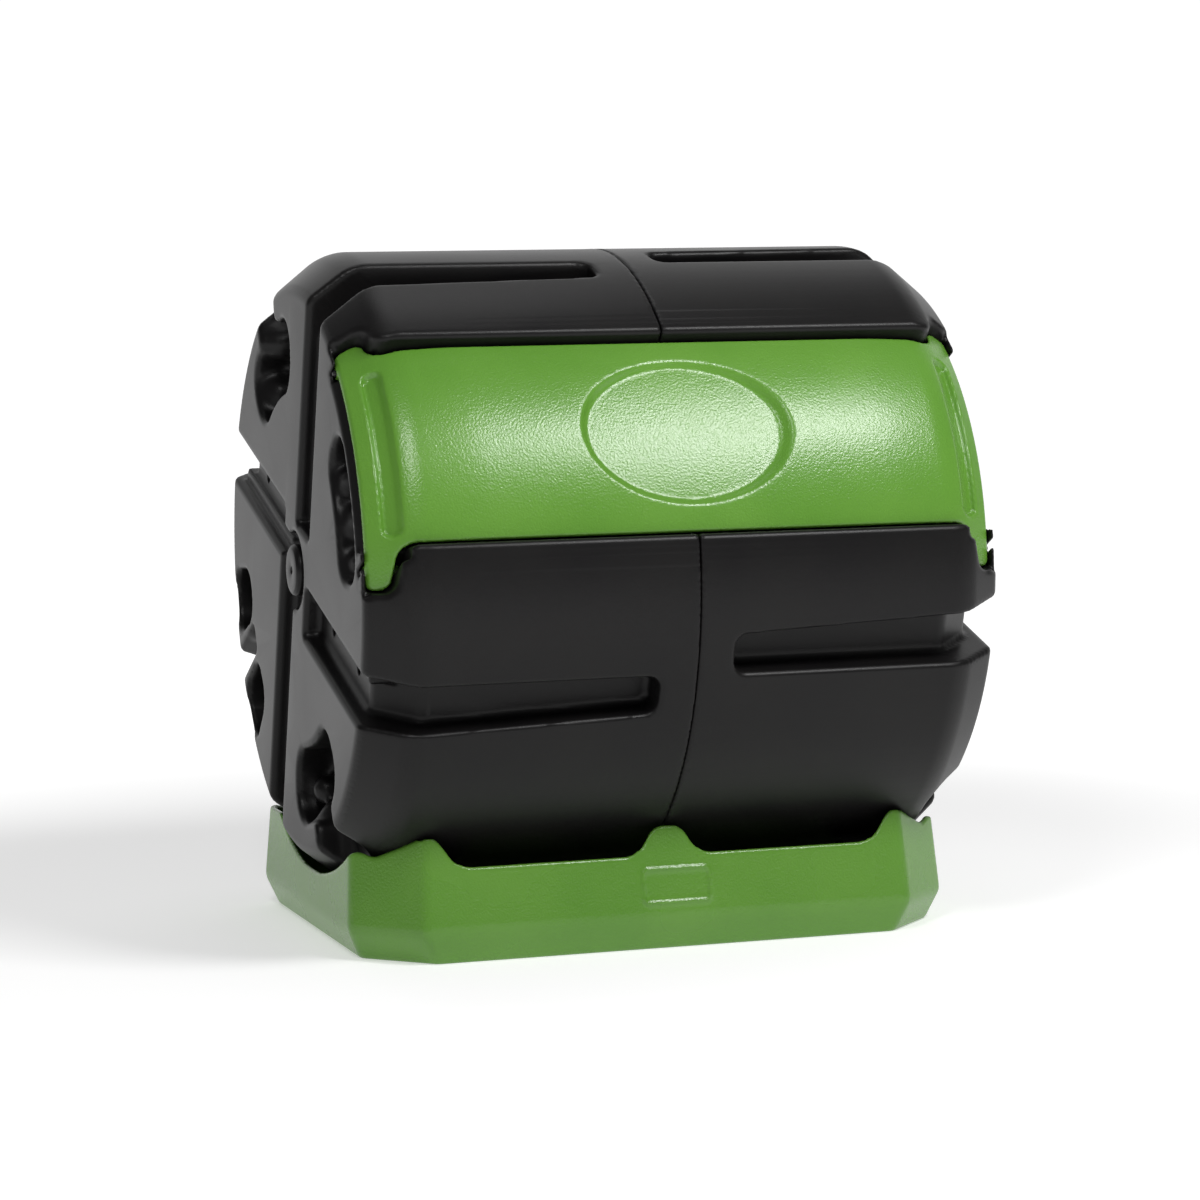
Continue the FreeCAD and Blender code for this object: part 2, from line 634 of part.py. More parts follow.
def tray_section(name, length, width, height, inset):
    """One section of the tray, its front corners cut off wide and its back ones barely."""
    near = f"({length}-{inset})"
    wide = f"({width}-{inset})"
    near_cut = f"({length}-tray_corner-0.41*{inset})"
    wide_cut = f"({width}-tray_corner-0.41*{inset})"
    near_back = f"({length}-tray_back_corner-0.41*{inset})"
    wide_back = f"({width}-tray_back_corner-0.41*{inset})"
    corners = [(near, f"-{wide_cut}"), (near, wide_back), (near_back, wide), (f"-{near_back}", wide),
               (f"-{near}", wide_back), (f"-{near}", f"-{wide_cut}"), (f"-{near_cut}", f"-{wide}"),
               (near_cut, f"-{wide}")]
    return outline(name, corners, FreeCAD.Placement(FreeCAD.Vector(0, 0, height), FreeCAD.Rotation()))


def tray_form(name, inset, low, high):
    """The tray as a block: foot, fold and top joined by flat sides."""
    stations = [("tray_length_foot", "tray_width_foot", low),
                ("tray_length_waist", "tray_width_waist", size("tray_waist")),
                ("tray_length_top", "tray_width_top", high)]
    loft = doc.addObject("Part::Loft", name)
    loft.Sections = [tray_section(f"{name}_{index}", length, width, height, inset)
                     for index, (length, width, height) in enumerate(stations)]
    loft.Solid = True
    loft.Ruled = True
    return loft


def rim_cutter():
    """What the front and back rims lose: low stretches between corner peaks and middle hump."""
    high = "tray_height+10"
    low = "tray_low_rim"
    peak = "tray_height-1"
    half = [("10", peak), ("16", f"{peak}-5"), ("24", f"{low}+4"), ("36", low), ("188", low),
            ("200", f"{low}+5"), ("216", peak), ("224", peak), ("240", f"{low}+6"),
            ("252", f"{low}-1"), ("266", f"{low}+12"), ("300", f"{low}+12")]
    corners = half + [("300", high)]
    corners += [("-300", high)] + [(f"-{across}", up) for across, up in reversed(half)]
    return extruded("tray_rim_cutter", corners, RADIAL_PLANE, "4*tray_width_waist", both_ways=True)


def cheeks():
    """Pairs of upright ribs, moulded with the tray, that carry the roller axles."""
    ribs = []
    for name, middle in roller_places():
        for side in (LEFT, RIGHT):
            near = size("roller_half+cheek_gap")
            start = middle.x + side * near + min(0, side) * size("cheek_wall")
            rib = doc.addObject("Part::Box", f"cheek_{name}_{SIDE_NAMES[side]}")
            rib.setExpression("Length", bound("cheek_wall"))
            rib.setExpression("Width", bound("roller_radius*1.2"))
            rib.setExpression("Height", bound(ROLLER_RISE + "+axle_radius*2.2-tray_wall/2"))
            rib.Placement.Base = FreeCAD.Vector(start, middle.y - size("roller_radius*0.6"),
                                                size("tray_wall/2"))
            ribs.append(rib)
    return ribs


def tray():
    """The tray: a moulded tub with shaped rim, hollowed ends and ribs for the roller axles."""
    shell = cut("tray_shell", tray_form("tray_outer", "0", 0, size("tray_height")),
                tray_form("tray_inner", "tray_wall", size("tray_wall"), size("tray_height") + 1))
    whole = joined("tray_whole", [shell] + cheeks())
    tools = [rim_cutter()]
    drum_room = cylinder("tray_drum_room", "tray_clear", "2*opening_end",
                         FreeCAD.Placement(FreeCAD.Vector(-size("opening_end"), 0, size("axle_height")),
                                           FreeCAD.Rotation()))
    end_room = cylinder("tray_end_room", "tray_scallop", "4*half_length",
                        FreeCAD.Placement(FreeCAD.Vector(-2 * size("half_length"), 0,
                                                         size("axle_height")), FreeCAD.Rotation()))
    tools += [drum_room, end_room]
    for name, middle in roller_places():
        start = FreeCAD.Placement(middle - FreeCAD.Vector(size("axle_half") + 1, 0, 0), FreeCAD.Rotation())
        tools.append(cylinder("tray_axle_hole_" + name, "axle_radius", "2*axle_half+2", start))
    return node(cut("tray", whole, joined("tray_tools", tools)), "base_tray", FreeCAD.Placement())


for half_side in (LEFT, RIGHT):
    drum_half(half_side)
    hub_plug(half_side)
    for catch_index, catch_angle in enumerate(CATCH_ANGLES):
        catch_pin(half_side, catch_index, catch_angle)
        catch_spring(half_side, catch_index, catch_angle)
door_panel()
seam_fasteners()
tray()
retainers()
for roller_name, roller_middle in roller_places():
    roller_set(roller_name, roller_middle)

doc.recompute()

for thing in doc.Objects:
    if "Invalid" in thing.State or "Error" in thing.State:
        raise RuntimeError(f"{thing.Name} failed: {thing.State}")
for thing in nodes:
    if thing.Shape.isNull() or not thing.Shape.isValid():
        raise RuntimeError(f"{thing.Label} has no valid shape")

os.makedirs("parts", exist_ok=True)
for thing in nodes:
    thing.Shape.exportStep(f"parts/{thing.Label}.step")
    box = thing.Shape.BoundBox
    print(f"{thing.Label}: {len(thing.Shape.Solids)} solid(s), {thing.Shape.Volume / 1000:.1f} cm3, "
          f"X {box.XMin:.1f} to {box.XMax:.1f}, Y {box.YMin:.1f} to {box.YMax:.1f}, "
          f"Z {box.ZMin:.1f} to {box.ZMax:.1f}")
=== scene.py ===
# %% [markdown]
# # A compost tumbler
# The object is a black barrel of two hollow halves with a green door, lying on four rollers in a
# green tray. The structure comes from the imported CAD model, which is loaded first and stays as it
# is: every size below is read from it or named beside it. Lengths are in metres in Blender and in
# millimetres inside the shape formulas, because moulded details are easiest to think of that way.

# %% Load the fixed frame
import json
import math

import bmesh
import bpy
import numpy as np
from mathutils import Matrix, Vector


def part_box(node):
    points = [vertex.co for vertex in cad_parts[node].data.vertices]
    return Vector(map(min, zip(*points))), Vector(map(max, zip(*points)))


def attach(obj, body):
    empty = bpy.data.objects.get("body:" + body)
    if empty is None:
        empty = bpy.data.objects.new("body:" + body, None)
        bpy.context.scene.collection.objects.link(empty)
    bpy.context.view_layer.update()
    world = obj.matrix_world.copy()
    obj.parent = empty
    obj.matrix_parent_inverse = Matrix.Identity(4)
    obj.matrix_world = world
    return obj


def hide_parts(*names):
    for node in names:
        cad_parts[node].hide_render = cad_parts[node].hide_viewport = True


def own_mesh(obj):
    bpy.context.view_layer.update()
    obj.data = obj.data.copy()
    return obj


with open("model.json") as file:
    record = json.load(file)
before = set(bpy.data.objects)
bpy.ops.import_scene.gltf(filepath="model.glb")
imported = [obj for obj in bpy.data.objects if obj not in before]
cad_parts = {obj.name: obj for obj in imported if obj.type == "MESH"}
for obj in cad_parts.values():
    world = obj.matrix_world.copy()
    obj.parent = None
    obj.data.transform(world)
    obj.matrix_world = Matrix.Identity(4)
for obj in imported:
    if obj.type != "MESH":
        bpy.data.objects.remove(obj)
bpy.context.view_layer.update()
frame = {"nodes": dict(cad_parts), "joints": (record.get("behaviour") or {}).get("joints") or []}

import openvdb
from mathutils import Matrix, Vector

MM = 0.001

# %% [markdown]
# ## Driving sizes
# The barrel's radius, the height of its axis, the tilt of the door and the tray's outline are all
# read from the frame, so the looks follow the structure when that changes.

# %% Read the driving sizes, in millimetres
right_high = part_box("drum_half_right")[1]
tray_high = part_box("base_tray")[1]
plug_low, plug_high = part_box("hub_plug_right")
lift = next(joint for joint in frame["joints"] if joint["name"] == "door_lift")

HALF_LENGTH = right_high.x / MM
AXLE = (plug_low.z + plug_high.z) / 2 / MM
BARREL = right_high.z / MM - AXLE
DOOR_TILT = math.degrees(math.atan2(lift["axis"][2], -lift["axis"][1]))
TRAY_HALF = Vector((tray_high.x, tray_high.y, 0)) / MM
TRAY_TOP = tray_high.z / MM
print(f"barrel radius {BARREL:.1f}, half length {HALF_LENGTH:.1f}, axis at {AXLE:.1f}, "
      f"door tilted {DOOR_TILT:.1f} degrees, tray top {TRAY_TOP:.1f}")

# %% [markdown]
# ## Shapes as distance fields
# Blow-moulded plastic has no sharp edge anywhere: every groove, pocket and step runs into the next
# surface through a radius. Bevelling such a shape after booleans is fragile, so it is described
# here as a distance field instead: a formula that says how far each point of space is from the
# skin. Two fields are joined or cut with a true round radius between them, and the wall's
# thickness is simply a second surface at a constant distance. OpenVDB then turns the field into
# a closed mesh.

# %% Field arithmetic
def cut_round(first, second, radius):
    """What two fields share, with the edge between them rounded off."""
    corner = np.hypot(np.maximum(first + radius, 0), np.maximum(second + radius, 0))
    return np.minimum(np.maximum(first, second), -radius) + corner


def join_round(first, second, radius):
    """Both fields together, with a fillet between them."""
    return -cut_round(-first, -second, radius)


def take_away(body, void, radius):
    """A body without a void, its new edge rounded off."""
    return cut_round(body, -void, radius)


def slanted(across, up, start, end):
    """Distance from the line through two points; positive on the line's left-hand outer side."""
    run, rise = end[0] - start[0], end[1] - start[1]
    length = math.hypot(run, rise)
    return ((up - start[1]) * run - (across - start[0]) * rise) / length


def rounded_plate(across, up, half_across, half_up, corner):
    """A flat rounded rectangle's distance."""
    x = np.abs(across) - half_across + corner
    y = np.abs(up) - half_up + corner
    return np.minimum(np.maximum(x, y), 0) + np.hypot(np.maximum(x, 0), np.maximum(y, 0)) - corner


def eased(share):
    """A smooth step from 0 to 1."""
    share = np.clip(share, 0, 1)
    return share * share * (3 - 2 * share)


# %% Sample a field on a grid and mesh it
def grid_line(low, high, step):
    """Sample places along one axis that straddle zero evenly, as a float array."""
    first = math.floor(low / step) - 1
    last = math.ceil(high / step) + 1
    return ((np.arange(first, last + 1) + 0.5) * step).astype(np.float32)


def mesh_of_field(name, field, lines, place, most_triangles):
    """A closed mesh of the field's zero surface, put in its place in metres."""
    grid = openvdb.FloatGrid(1.0)
    grid.copyFromArray(np.ascontiguousarray(field, dtype=np.float32))
    points, triangles, quads = grid.convertToPolygons(isovalue=0.0, adaptivity=0.0)
    step = lines[0][1] - lines[0][0]
    start = np.array([line[0] for line in lines])
    points = points * step + start
    faces = np.concatenate([quads[:, [0, 1, 2]], quads[:, [0, 2, 3]], triangles.reshape(-1, 3)])
    corners = points[faces]
    volume = np.einsum("ij,ij->i", corners[:, 0], np.cross(corners[:, 1], corners[:, 2])).sum()
    if volume < 0:
        faces = faces[:, ::-1]
    mesh = bpy.data.meshes.new(name)
    mesh.vertices.add(len(points))
    mesh.vertices.foreach_set("co", points.astype(np.float32).ravel())
    mesh.loops.add(len(faces) * 3)
    mesh.loops.foreach_set("vertex_index", faces.astype(np.int32).ravel())
    mesh.polygons.add(len(faces))
    mesh.polygons.foreach_set("loop_start", np.arange(0, len(faces) * 3, 3, dtype=np.int32))
    mesh.update(calc_edges=True)
    mesh.transform(place @ Matrix.Scale(MM, 4))
    piece = bpy.data.objects.new(name, mesh)
    bpy.context.scene.collection.objects.link(piece)
    if len(faces) > most_triangles:
        thin_out(piece, most_triangles / len(faces))
    piece.data.polygons.foreach_set("use_smooth", [True] * len(piece.data.polygons))
    print(f"{name}: {len(faces)} triangles sampled, {len(piece.data.polygons)} kept")
    return piece


def thin_out(piece, share):
    """Keep a share of a piece's triangles where they describe the shape best."""
    fewer = piece.modifiers.new("fewer", "DECIMATE")
    fewer.ratio = share
    fewer.use_collapse_triangulate = True
    made_plain(piece)


def made_plain(piece):
    """Replace a piece's mesh with its evaluated one and drop its modifiers."""
    evaluated = piece.evaluated_get(bpy.context.evaluated_depsgraph_get())
    mesh = bpy.data.meshes.new_from_object(evaluated)
    piece.modifiers.clear()
    old = piece.data
    piece.data = mesh
    mesh.name = piece.name
    bpy.data.meshes.remove(old)
    return piece


# The drum's own frame has X along the axis and Z through the middle of the door.
DRUM_PLACE = (Matrix.Translation((0, 0, AXLE * MM))
              @ Matrix.Rotation(math.radians(90 - DOOR_TILT), 4, "X"))

# %% [markdown]
# ## The barrel halves
# Each half is one moulding: a cylinder with a chamfered end, cut by four wide tapering grooves
# that fold over the chamfer and run down the end face to the hub, like a pinwheel. A narrow
# groove lies opposite the door. Pockets in the end face are the hand-holds for turning the drum.
# Both halves are the same shape turned end for end, except for the door's seat, so one function
# makes both: `x` is the distance from the seam and `y` runs round from the door.

# %% Sizes of the barrel's details
CHAMFER = (41.0, 32.5)
WALL = 4.0
CHAMFER_ROUND, RIM_ROUND = 8.0, 5.0
GROOVE_TIP, GROOVE_TIP_WIDTH, GROOVE_END_WIDTH, GROOVE_DEPTH = 34.0, 35.0, 47.0, 29.0
SLOT_DEPTH, SLOT_INNER = 17.0, 46.0
# One slot runs on past the hub, which stands in it as a boss.
LONG_SLOT, LONG_SLOT_INNER, HUB_BOSS = 135, -26.0, 31.0
NOTCH_WIDTH, NOTCH_INNER = 26.0, 186.0
WIDE_GROOVES, NOTCH_ANGLE = (45, 135, 225, 315), 180
# Two grooves keep a shelf along their straight wall, back from the end face.
SHELVED_GROOVES, SHELF_WIDTH, SHELF_BACK, SHELF_TOP = (45, 225), 13.0, 10.0, 246.0
HOLD_DEPTH, HOLD_DISH = 40.0, 16.0
HUB_RECESS, HUB_RECESS_DEPTH = 36.0, 12.0
EDGE, FILLET, TIP_ROUND, NOTCH_TIP_ROUND = 5.0, 6.0, 11.0, 10.0
BEND_ROUND, SLOT_ROUND = 4.0, 6.0
VENT_RINGS, VENT = (95, 185), 4.5
HUB_HOLE = 12.3

# %% Sizes of the door, its catches and its seat
DOOR_RADIUS, DOOR_WALL, DOOR_BEND, DOOR_END, DOOR_END_RADIUS = 279.0, 6.0, 250.0, 289.0, 248.0
# A first shallow bend leads into the steep one at each end of the door.
FACET_START, FACET_DROP = 229.0, 3.6
DOOR_HALF, HORN_INNER, HORN_TAPER, LOWER_HORN, UPPER_HORN = 19.5, 263.0, 0.2, 28.2, 25.0
HORN_ROUND, HORN_FILLET = 9.0, 13.0
CATCH_RING, LOWER_CATCH, UPPER_CATCH, CATCH_BOSS, CATCH_BORE = 240.0, 24.6, 21.6, 6.0, 3.2
BOSS_START, BORE_START, NOSE_END = 258.0, 264.0, 292.6
SEAT_GAP, SEAT_END_GAP, CATCH_ROOM = 1.2, 1.0, 1.2
# The seat is wider than the door by these angles, in degrees, along the panel and at the horns.
PANEL_ROOM, HORN_ROOM = 0.45, 0.35
SEAT_FACET_ROUND, SEAT_ROUND, SEAT_SLOPE_DROP = 3.0, 12.0, 3.0


# %% The barrel's grooves and pockets as voids
def groove_void(x, along, out, widths, inner, floor_fillet, tip_radius):
    """One groove: `along` runs round the drum from its straight wall and `out` away from the axis."""
    tip_width, end_width = widths
    spread = (end_width - tip_width) / (HALF_LENGTH - GROOVE_TIP)
    far = (along - tip_width - spread * (x - GROOVE_TIP)) / math.hypot(1, spread)
    plan = cut_round(cut_round(-along, far, 1.0), GROOVE_TIP - x, tip_radius)
    floor = BARREL - GROOVE_DEPTH
    slot = HALF_LENGTH - SLOT_DEPTH
    bend = (slot - CHAMFER[0] + WALL, floor)
    drop = (slot, floor - CHAMFER[1])
    under = cut_round(out - floor, slanted(x, out, bend, drop), BEND_ROUND)
    under = cut_round(under, x - slot, BEND_ROUND)
    section = cut_round(-under, inner - out, SLOT_ROUND)
    return cut_round(plan, section, floor_fillet)


def hold_void(x, angle, radius, middle, ring, reach, width, corner):
    """A long pocket in the end face along a ring round the hub, with a dished bottom."""
    arc = np.radians((angle - middle + 180) % 360 - 180) * ring
    plan = rounded_plate(arc, radius - ring, reach, width / 2, corner)
    return cut_round(plan, (HALF_LENGTH - HOLD_DEPTH) - x, HOLD_DISH)


def horn_taper(angle):
    """How far a horn's inner side has moved outwards where it runs past the panel."""
    return HORN_TAPER * np.maximum(np.radians(np.abs(angle) - DOOR_HALF) * DOOR_RADIUS, 0)


def door_void(x, y, z, low, high, catches):
    """The seat of the door, `low` and `high` being the ends of its horns in degrees."""
    radius, angle = np.hypot(y, z), np.degrees(np.arctan2(y, z))
    ring = DOOR_RADIUS - DOOR_WALL - SEAT_GAP
    bend_ring = ring - FACET_DROP
    facet = slanted(x, radius, (FACET_START, ring), (DOOR_BEND, bend_ring))
    slope = slanted(x, radius, (DOOR_BEND - 2, bend_ring),
                    (DOOR_END, DOOR_END_RADIUS - DOOR_WALL - SEAT_SLOPE_DROP))
    under = cut_round(cut_round(radius - ring, facet, SEAT_FACET_ROUND), slope, SEAT_ROUND)
    end = x - (DOOR_END + SEAT_END_GAP)
    middle = cut_round(np.radians(np.abs(angle) - DOOR_HALF - PANEL_ROOM) * ring, end, 6.0)
    reach = np.radians(np.maximum(low - angle, angle - high) - HORN_ROOM) * DOOR_END_RADIUS
    horns = cut_round(cut_round(reach, HORN_INNER + horn_taper(angle) - 2 - x, HORN_ROUND), end, 2.0)
    void = cut_round(join_round(middle, horns, SEAT_ROUND), -under, 2.0)
    boss_middle, boss_half = (BOSS_START + DOOR_END) / 2, (DOOR_END - BOSS_START) / 2
    for catch in catches:
        a = math.radians(catch)
        room = cut_round(np.abs(y - CATCH_RING * math.sin(a)) - CATCH_BOSS - CATCH_ROOM,
                         CATCH_RING * math.cos(a) - CATCH_BOSS - CATCH_ROOM - z, 3.0)
        room = cut_round(room, np.abs(x - boss_middle) - boss_half - SEAT_END_GAP, 1.0)
        void = np.minimum(void, room)
    return void


# %% One half of the barrel
RAIL_TOP = 253.0
OPENING_HALF, OPENING_END, OPENING_CORNER, OPENING_DEPTH = 15.5, 228.0, 18.0, 50.0
FLANGE_DEPTH, FLANGE_WALL, FLANGE_START = 26.0, 5.0, 26.0
# The vents and the hub hole reach this far in from the end face; a slit is this long each way.
HOLE_REACH, SLIT_HALF = 60.0, 3.0
SCREW_RING, SCREW_RADIUS, SCREW_COUNT = 271.0, 2.5, 11

# Middle angle, ring radius, half length, width and corner radius of each hand-hold.
HOLDS = ((-9, 200, 64, 55, 24), (83, 198, 72, 68, 30), (-99, 198, 72, 68, 30),
         (163, 221, 28, 70, 24), (190, 221, 28, 70, 22))
# Middle angle and half width of each channel from a hand-hold to the rim, then the ring that
# angle is measured on, where the channel starts and how much shallower than a hold it is.
CHANNELS = ((84, 30), (-95, 30))
CHANNEL_RING, CHANNEL_START, CHANNEL_RISE, CHANNEL_BLEND = 240, 200, 6, 10.0
# Angle, ring radius, radius and depth of the crown of each soft dome in the hand-holds.
DOMES = ((2, 182, 9, 9), (-10, 182, 12, 11), (-22, 184, 9, 9), (103, 210, 13, 11), (92, 238, 13, 11),
         (-114, 203, 13, 11), (-108, 227, 13, 11), (172, 214, 12, 12))
DOME_ROOT, DOME_BLEND = 6.0, 14.0


def barrel_field(x, y, z):
    """The outside of a half without its door seat, as a solid."""
    radius = np.hypot(y, z)
    angle = np.degrees(np.arctan2(y, z))
    corner = (HALF_LENGTH - CHAMFER[0], BARREL)
    rim = (HALF_LENGTH, BARREL - CHAMFER[1])
    body = cut_round(cut_round(radius - BARREL, slanted(x, radius, corner, rim), CHAMFER_ROUND),
                     x - HALF_LENGTH, RIM_ROUND)
    for turn in WIDE_GROOVES + (NOTCH_ANGLE,):
        a = math.radians(turn)
        along = y * math.cos(a) - z * math.sin(a)
        out = y * math.sin(a) + z * math.cos(a)
        if turn == NOTCH_ANGLE:
            void = groove_void(x, along, out, (NOTCH_WIDTH, NOTCH_WIDTH), NOTCH_INNER, FILLET,
                               NOTCH_TIP_ROUND)
        else:
            inner = LONG_SLOT_INNER if turn == LONG_SLOT else SLOT_INNER
            void = groove_void(x, along, out, (GROOVE_TIP_WIDTH, GROOVE_END_WIDTH), inner, FILLET,
                               TIP_ROUND)
            void = cut_round(void, HUB_BOSS - radius, 2.0)
        if turn in SHELVED_GROOVES:
            shelf = cut_round(along - SHELF_WIDTH, x - (HALF_LENGTH - SHELF_BACK), 3.0)
            shelf = cut_round(shelf, out - SHELF_TOP, 4.0)
            void = take_away(void, shelf, 3.0)
        body = take_away(body, void, EDGE)
    pockets = None
    for hold in HOLDS:
        # Hand-hold angles are given as seen on the left end, so they are mirrored here.
        void = hold_void(x, -angle, radius, *hold)
        pockets = void if pockets is None else np.minimum(pockets, void)
    for middle, half_width in CHANNELS:
        arc = np.radians((-angle - middle + 180) % 360 - 180) * CHANNEL_RING
        void = cut_round(cut_round(np.abs(arc) - half_width, CHANNEL_START - radius, 4.0),
                         (HALF_LENGTH - HOLD_DEPTH + CHANNEL_RISE) - x, HOLD_DISH)
        pockets = join_round(pockets, void, CHANNEL_BLEND)
    body = take_away(body, pockets, EDGE)
    for middle, ring, round_of, depth in DOMES:
        a = math.radians(-middle)
        off = np.hypot(y - ring * math.sin(a), z - ring * math.cos(a))
        dome = np.hypot(off, np.maximum(x - (HALF_LENGTH - depth - round_of), 0)) - round_of
        dome = np.maximum(dome, HALF_LENGTH - HOLD_DEPTH - DOME_ROOT - x)
        body = join_round(body, dome, DOME_BLEND)
    recess = cut_round(radius - HUB_RECESS, HALF_LENGTH - HUB_RECESS_DEPTH - x, 3.0)
    return take_away(body, recess, 3.0)


def hollow_half(outside, x, y, z, side):
    """A half's shell: its door seat, wall, seam flange, loading opening and small holes."""
    radius = np.hypot(y, z)
    angle = np.degrees(np.arctan2(y, z))
    low, high, catches = -LOWER_HORN, UPPER_HORN, (-LOWER_CATCH, UPPER_CATCH)
    if side < 0:
        low, high, catches = -high, -low, (LOWER_CATCH, -UPPER_CATCH)
    seated = take_away(outside, door_void(x, y, z, low, high, catches), 4.0)
    rail = np.maximum(np.maximum(DOOR_END - 1 - x, RAIL_TOP - radius),
                      np.radians(np.maximum(low - angle, angle - high) - 1.0) * DOOR_RADIUS)
    seated = take_away(seated, rail, 2.0)
    shell = np.maximum(seated, -(seated + WALL))
    ring = cut_round(radius - BARREL + WALL / 2, BARREL - FLANGE_DEPTH - radius, 1.0)
    flange = cut_round(cut_round(ring, x - FLANGE_WALL, 1.0),
                       np.radians(FLANGE_START - np.abs(angle)) * BARREL, 2.0)
    shell = join_round(shell, flange, 3.0)
    opening = cut_round(np.radians(np.abs(angle) - OPENING_HALF) * BARREL, x - OPENING_END,
                        OPENING_CORNER)
    opening = np.maximum(opening, BARREL - OPENING_DEPTH - radius)
    shell = take_away(shell, opening, 1.5)
    holes = radius - HUB_HOLE
    for turn in WIDE_GROOVES:
        for ring_radius in VENT_RINGS:
            a = math.radians(turn) + math.asin(GROOVE_END_WIDTH / 2 / ring_radius)
            vent = np.hypot(y - ring_radius * math.sin(a), z - ring_radius * math.cos(a)) - VENT
            holes = np.minimum(holes, vent)
    shell = np.maximum(shell, -np.maximum(holes, HALF_LENGTH - HOLE_REACH - x))
    for catch in catches:
        a = math.radians(catch)
        slit = np.maximum(np.abs(y - CATCH_RING * math.sin(a)) - CATCH_BORE,
                          CATCH_RING * math.cos(a) - CATCH_BORE - z)
        slit = np.maximum(slit, np.abs(x - NOSE_END + SLIT_HALF) - SLIT_HALF)
        shell = np.maximum(shell, -slit)
    return np.maximum(shell, -x)


# %% Mesh both halves
DRUM_STEP = 2.6
MOST_TRIANGLES = 195000

drum_lines = [grid_line(-DRUM_STEP, HALF_LENGTH, DRUM_STEP),
              grid_line(-BARREL, BARREL, DRUM_STEP), grid_line(-BARREL, BARREL, DRUM_STEP)]
drum_x, drum_y, drum_z = np.meshgrid(*drum_lines, indexing="ij", sparse=True)
barrel = barrel_field(drum_x, drum_y, drum_z)
halves = {}
for side, side_name in ((-1, "left"), (1, "right")):
    mirrored = DRUM_PLACE @ Matrix.Diagonal((side, side, 1, 1))
    halves[side_name] = mesh_of_field("drum_shell_" + side_name,
                                      hollow_half(barrel, drum_x, drum_y, drum_z, side),
                                      drum_lines, mirrored, MOST_TRIANGLES)

# %% [markdown]
# ## The door
# A curved panel that bends down over both ends and runs on as horns. It is one injection moulding
# of even wall, so its oval field and its finger troughs are made by pushing the whole wall in:
# the field's radius is measured from a surface that is itself displaced.

# %% Sizes of the door's details
OVAL_OUTER, OVAL_SLOPE, OVAL_DEPTH, OVAL_SHIFT = (99.5, 72.0), 8.0, 4.6, 5.5
# The field is flatter than the panel, and its slope is wider towards the right.
OVAL_FLATNESS, OVAL_LEAN = 0.45, 0.25
GRIP_MIDDLE, GRIP_WIDTH, GRIP_LOW, GRIP_HIGH, GRIP_DEPTH = 267.0, 19.0, -18.5, 16.5, 5.4
GRIP_SLOPE = 5.0
DOOR_BEND_ROUND, DOOR_EDGE = 8.0, 2.2


# %% The door's field
def door_field(x, y, z):
    """The door as a solid wall with its horns, oval, troughs and catch bosses."""
    radius = np.hypot(y, z)
    angle = np.degrees(np.arctan2(y, z))
    arc = np.radians(angle) * DOOR_RADIUS
    end = np.abs(x)
    oval = (1 - np.hypot((x - OVAL_SHIFT) / OVAL_OUTER[0], arc / OVAL_OUTER[1])) * OVAL_OUTER[1]
    slope_width = OVAL_SLOPE * (1 + OVAL_LEAN * np.clip((x - OVAL_SHIFT) / OVAL_OUTER[0], -1, 1))
    sag = np.maximum((OVAL_OUTER[1] - OVAL_SLOPE) ** 2 - arc ** 2, 0) / (2 * DOOR_RADIUS)
    push = (OVAL_DEPTH + OVAL_FLATNESS * sag) * eased(oval / slope_width)
    reach = math.radians(GRIP_HIGH - GRIP_LOW) / 2 * DOOR_RADIUS
    grip_arc = arc - math.radians(GRIP_HIGH + GRIP_LOW) / 2 * DOOR_RADIUS
    grip = rounded_plate(grip_arc, end - GRIP_MIDDLE, reach, GRIP_WIDTH / 2, GRIP_WIDTH / 2)
    push = push + GRIP_DEPTH * eased(-grip / GRIP_SLOPE)
    facet = slanted(end, radius, (FACET_START, DOOR_RADIUS), (DOOR_BEND, DOOR_RADIUS - FACET_DROP))
    slope = slanted(end, radius, (DOOR_BEND, DOOR_RADIUS - FACET_DROP), (DOOR_END, DOOR_END_RADIUS))
    skin = cut_round(cut_round(radius - DOOR_RADIUS, facet, DOOR_BEND_ROUND), slope, DOOR_BEND_ROUND) + push
    wall = np.abs(skin + DOOR_WALL / 2) - DOOR_WALL / 2
    panel = np.radians(np.abs(angle) - DOOR_HALF) * DOOR_RADIUS
    outer_reach = np.radians(np.maximum(-LOWER_HORN - angle, angle - UPPER_HORN)) * DOOR_RADIUS
    horns = cut_round(outer_reach, HORN_INNER + horn_taper(angle) - end, HORN_ROUND)
    plan = cut_round(join_round(panel, horns, HORN_FILLET), end - DOOR_END, 6.0)
    door = cut_round(wall, plan, DOOR_EDGE)
    for catch in (-LOWER_CATCH, UPPER_CATCH):
        a = math.radians(catch)
        off = np.hypot(y - CATCH_RING * math.sin(a), z - CATCH_RING * math.cos(a))
        boss = cut_round(cut_round(off - CATCH_BOSS, BOSS_START - end, 1.0), end - DOOR_END, 0.8)
        door = join_round(door, boss, 2.0)
        door = np.maximum(door, -np.maximum(off - CATCH_BORE, BORE_START - end))
    return door


# %% Mesh the door
DOOR_STEP = 1.8
door_lines = [grid_line(-DOOR_END, DOOR_END, DOOR_STEP),
              grid_line(-DOOR_RADIUS * math.sin(math.radians(LOWER_HORN + 1)),
                        DOOR_RADIUS * math.sin(math.radians(UPPER_HORN + 1)), DOOR_STEP),
              grid_line(CATCH_RING * math.cos(math.radians(LOWER_HORN)) - 8, DOOR_RADIUS, DOOR_STEP)]
door_grid = np.meshgrid(*door_lines, indexing="ij", sparse=True)
door = mesh_of_field("door_shell", door_field(*door_grid), door_lines, DRUM_PLACE, MOST_TRIANGLES)

